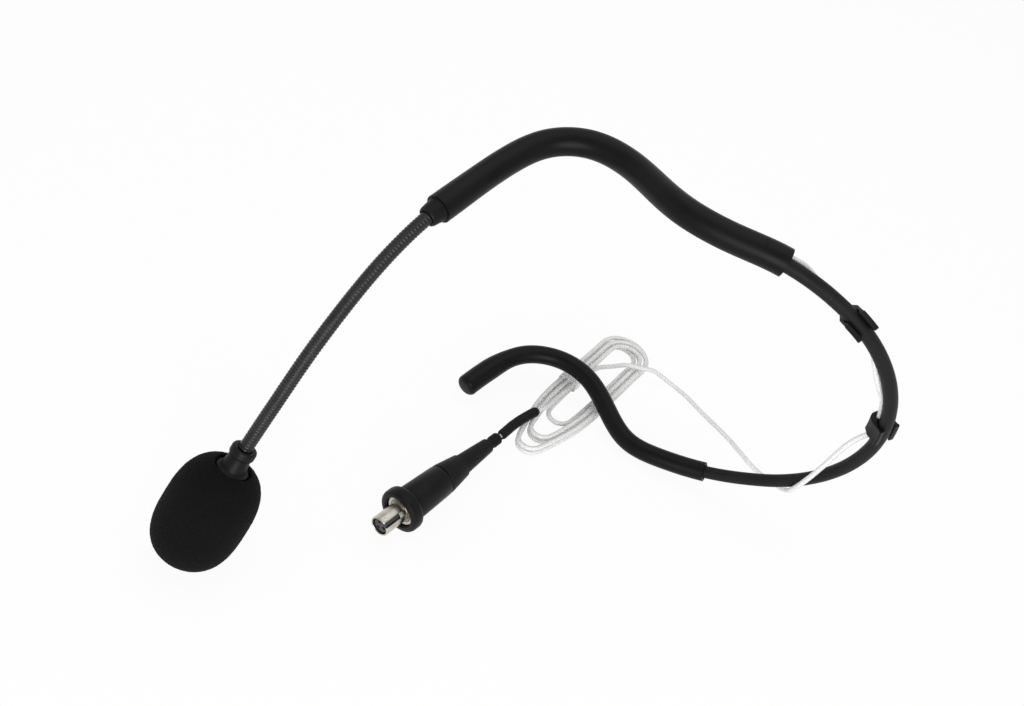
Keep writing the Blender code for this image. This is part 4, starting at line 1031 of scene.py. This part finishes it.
# %% Back shell and boot
BACK_R, BOOT_FROM, BOOT_STEP, BOOT_NECK = 0.00685, 0.0329, 0.0441, 0.0603
BACK_BORE, BOOT_BORE, BOOT_TUCK = 0.0042, 0.0013, 0.006
back = lathe("back_shell", [
    (BACK_BORE, RING_TO + 0.0003), (BACK_R - 0.0004, RING_TO + 0.0003), (BACK_R - 0.0001, RING_TO + 0.0005),
    (BACK_R, RING_TO + 0.0009), (BACK_R - 0.0006, BOOT_FROM - 0.0008), (BACK_R - 0.0008, BOOT_FROM - 0.0002),
    (BACK_R - 0.0012, BOOT_FROM), (BACK_BORE, BOOT_FROM),
], 72, 30)
fit(back, plug_frame, "plug_back", PLASTIC, "plain_arm")
boot_from = BOOT_FROM + CLEAR
boot = lathe("boot", [
    (BOOT_BORE, BOOT_FROM - BOOT_TUCK), (0.0037, BOOT_FROM - BOOT_TUCK), (0.0037, boot_from),
    (0.0058, boot_from), (0.0061, boot_from + 0.0003), (0.0060, boot_from + 0.0016),
    (0.0047, BOOT_STEP - 0.0004), (0.0045, BOOT_STEP - 0.0001), (0.0041, BOOT_STEP + 0.0003),
    (0.0030, BOOT_NECK - 0.0006), (0.0027, BOOT_NECK - 0.0001), (0.0022, BOOT_NECK),
    (0.0021, BOOT_NECK + 0.0008), (0.0022, BOOT_NECK + 0.0016), (0.00245, BOOT_NECK + 0.0022),
    (0.00245, BOOT_END - 0.0005), (0.0022, BOOT_END - 0.0001), (0.0019, BOOT_END), (BOOT_BORE, BOOT_END),
], 64, 30)
fit(boot, plug_frame, "plug_boot", RUBBER, "plain_arm")
print("plug mm", round(1000 * BOOT_END, 1))

# %% Heat-shrink over the cable
SHRINK_FROM, SHRINK_SHORT = -0.0272, 0.0015    # its start along the coil, and its distance from the boot
tail_from = cable_line.marks[len(lead_points) + len(coil_points)]
spots = [cable_line.at(s) for s in np.arange(tail_from, cable_line.length, 0.0004)]
spots = [p for p in spots if COIL_U.dot(p - COIL_MID) < SHRINK_FROM]
spots = [p for p in spots if PLUG_AXIS.dot(p - PLUG_AT) > BOOT_END + SHRINK_SHORT]
last = len(spots) - 1
radii = [SHRINK_D / 2 - 0.0005 * (1 - ease(min(k, last - k) / 3)) for k in range(len(spots))]
shrink = path("heat_shrink_tube", spots, SHRINK_D, 24, radii)
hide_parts("heat_shrink")
wear(shrink, RUBBER, "plain_arm")
print("heat-shrink mm", round(1000 * sum((b - a).length for a, b in zip(spots, spots[1:])), 1))

# %% The clear tie round one side of the coil
TIE_AT, TIE_WIDTH = 0.0030, 0.0044
inner = COIL_HALF_WIDTH - 2.5 * COIL_STEP - CABLE_D / 2 - CLEAR - 0.0004
outer = COIL_HALF_WIDTH - 0.5 * COIL_STEP + CABLE_D / 2 + CLEAR
middle, half = (inner + outer) / 2, (outer - inner) / 2
low_z, high_z = LOW - CABLE_D / 2 - TIE_GAP, HIGH + CABLE_D / 2 + CLEAR
only()
bpy.ops.mesh.primitive_cube_add(size=1)
tie = bpy.context.object
tie.name = tie.data.name = "coil_wrap"
turn = Matrix((COIL_U, COIL_V, (0, 0, 1))).transposed().to_4x4()
size = Matrix.Diagonal((TIE_WIDTH, 2 * half, high_z - low_z, 1))
settle(tie, Matrix.Translation(on_coil(TIE_AT, middle, (low_z + high_z) / 2)) @ turn @ size)
pick_faces(tie, lambda face: abs(Vector(face.normal).dot(COIL_U)) > 0.9)
bpy.ops.mesh.delete(type="FACE")
bpy.ops.object.mode_set(mode="OBJECT")
soft = tie.modifiers.new("soft", "BEVEL")
soft.width = 0.0012
soft.segments = 4
wall = tie.modifiers.new("wall", "SOLIDIFY")
wall.thickness = TIE_WALL
wall.offset = 1
apply_modifiers(tie)
tidy_mesh(tie, 50)
TIE = clear_skin("clear_wrap", (0.82, 0.82, 0.815), 0.60, 0.85, (0.12, 0.22))
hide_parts("coil_tie")
wear(tie, TIE, "plain_arm")
print("tie mm", round(2000 * half, 1), "wide, faces", len(tie.data.polygons))

# %% [markdown]
# ## The stage
#
# The cable is a free cord. The stage is a plain pale table under soft light. The background stays white to
# the camera and in reflections, while the table still takes the headset's shadow.

# %% Table
WHITE_SHARE = 0.93       # the rest of the table is lit, and keeps the shadow
only()
bpy.ops.mesh.primitive_plane_add(size=6, location=(0, 0, -0.0003))
table = bpy.context.object
table.name = "table"
settle(table)
mat, tree, shader = new_material("pale_table")
shader.inputs["Base Color"].default_value = (0.92, 0.92, 0.92, 1)
shader.inputs["Roughness"].default_value = 0.8
white = tree.nodes.new("ShaderNodeEmission")
white.inputs["Strength"].default_value = 1.0
rays = tree.nodes.new("ShaderNodeLightPath").outputs
seen = math_node(tree, "MAXIMUM", rays["Is Camera Ray"], rays["Is Glossy Ray"])
seen = math_node(tree, "MAXIMUM", seen, rays["Is Transmission Ray"])
mix = tree.nodes.new("ShaderNodeMixShader")
tree.links.new(map_range(tree, seen, (0, WHITE_SHARE)), mix.inputs["Fac"])
tree.links.new(shader.outputs["BSDF"], mix.inputs[1])
tree.links.new(white.outputs["Emission"], mix.inputs[2])
tree.links.new(mix.outputs["Shader"], tree.nodes["Material Output"].inputs["Surface"])
table.data.materials.append(mat)
print("table nodes", len(tree.nodes))

# %% Sky and lamps
HORIZON, OVERHEAD = 1.0, 0.40
world = bpy.data.worlds.new("studio")
bpy.context.scene.world = world
world.use_nodes = True
tree = world.node_tree
sky = tree.nodes["Background"]
sky.inputs["Color"].default_value = (1, 1, 1, 1)
place = tree.nodes.new("ShaderNodeTexCoord")
split = tree.nodes.new("ShaderNodeSeparateXYZ")
tree.links.new(place.outputs["Generated"], split.inputs["Vector"])
level = map_range(tree, split.outputs["Z"], (HORIZON, OVERHEAD))
rays = tree.nodes.new("ShaderNodeLightPath").outputs
seen = math_node(tree, "MAXIMUM", rays["Is Camera Ray"], rays["Is Transmission Ray"])
tree.links.new(math_node(tree, "MAXIMUM", seen, level), sky.inputs["Strength"])


def softbox(name, place, aim, size, power):
    """A square lamp at a place, turned to a point."""
    only()
    bpy.ops.object.light_add(type="AREA", location=place)
    lamp = bpy.context.object
    lamp.name = name
    lamp.data.size = size
    lamp.data.energy = power
    lamp.rotation_euler = (Vector(aim) - Vector(place)).to_track_quat("-Z", "Y").to_euler()


softbox("overhead", (0.05, 0.15, 0.75), (0, 0, 0.05), 0.7, 1.8)
softbox("front", (0.05, -0.66, 0.17), (0.02, 0, 0.06), 0.45, 3.2)
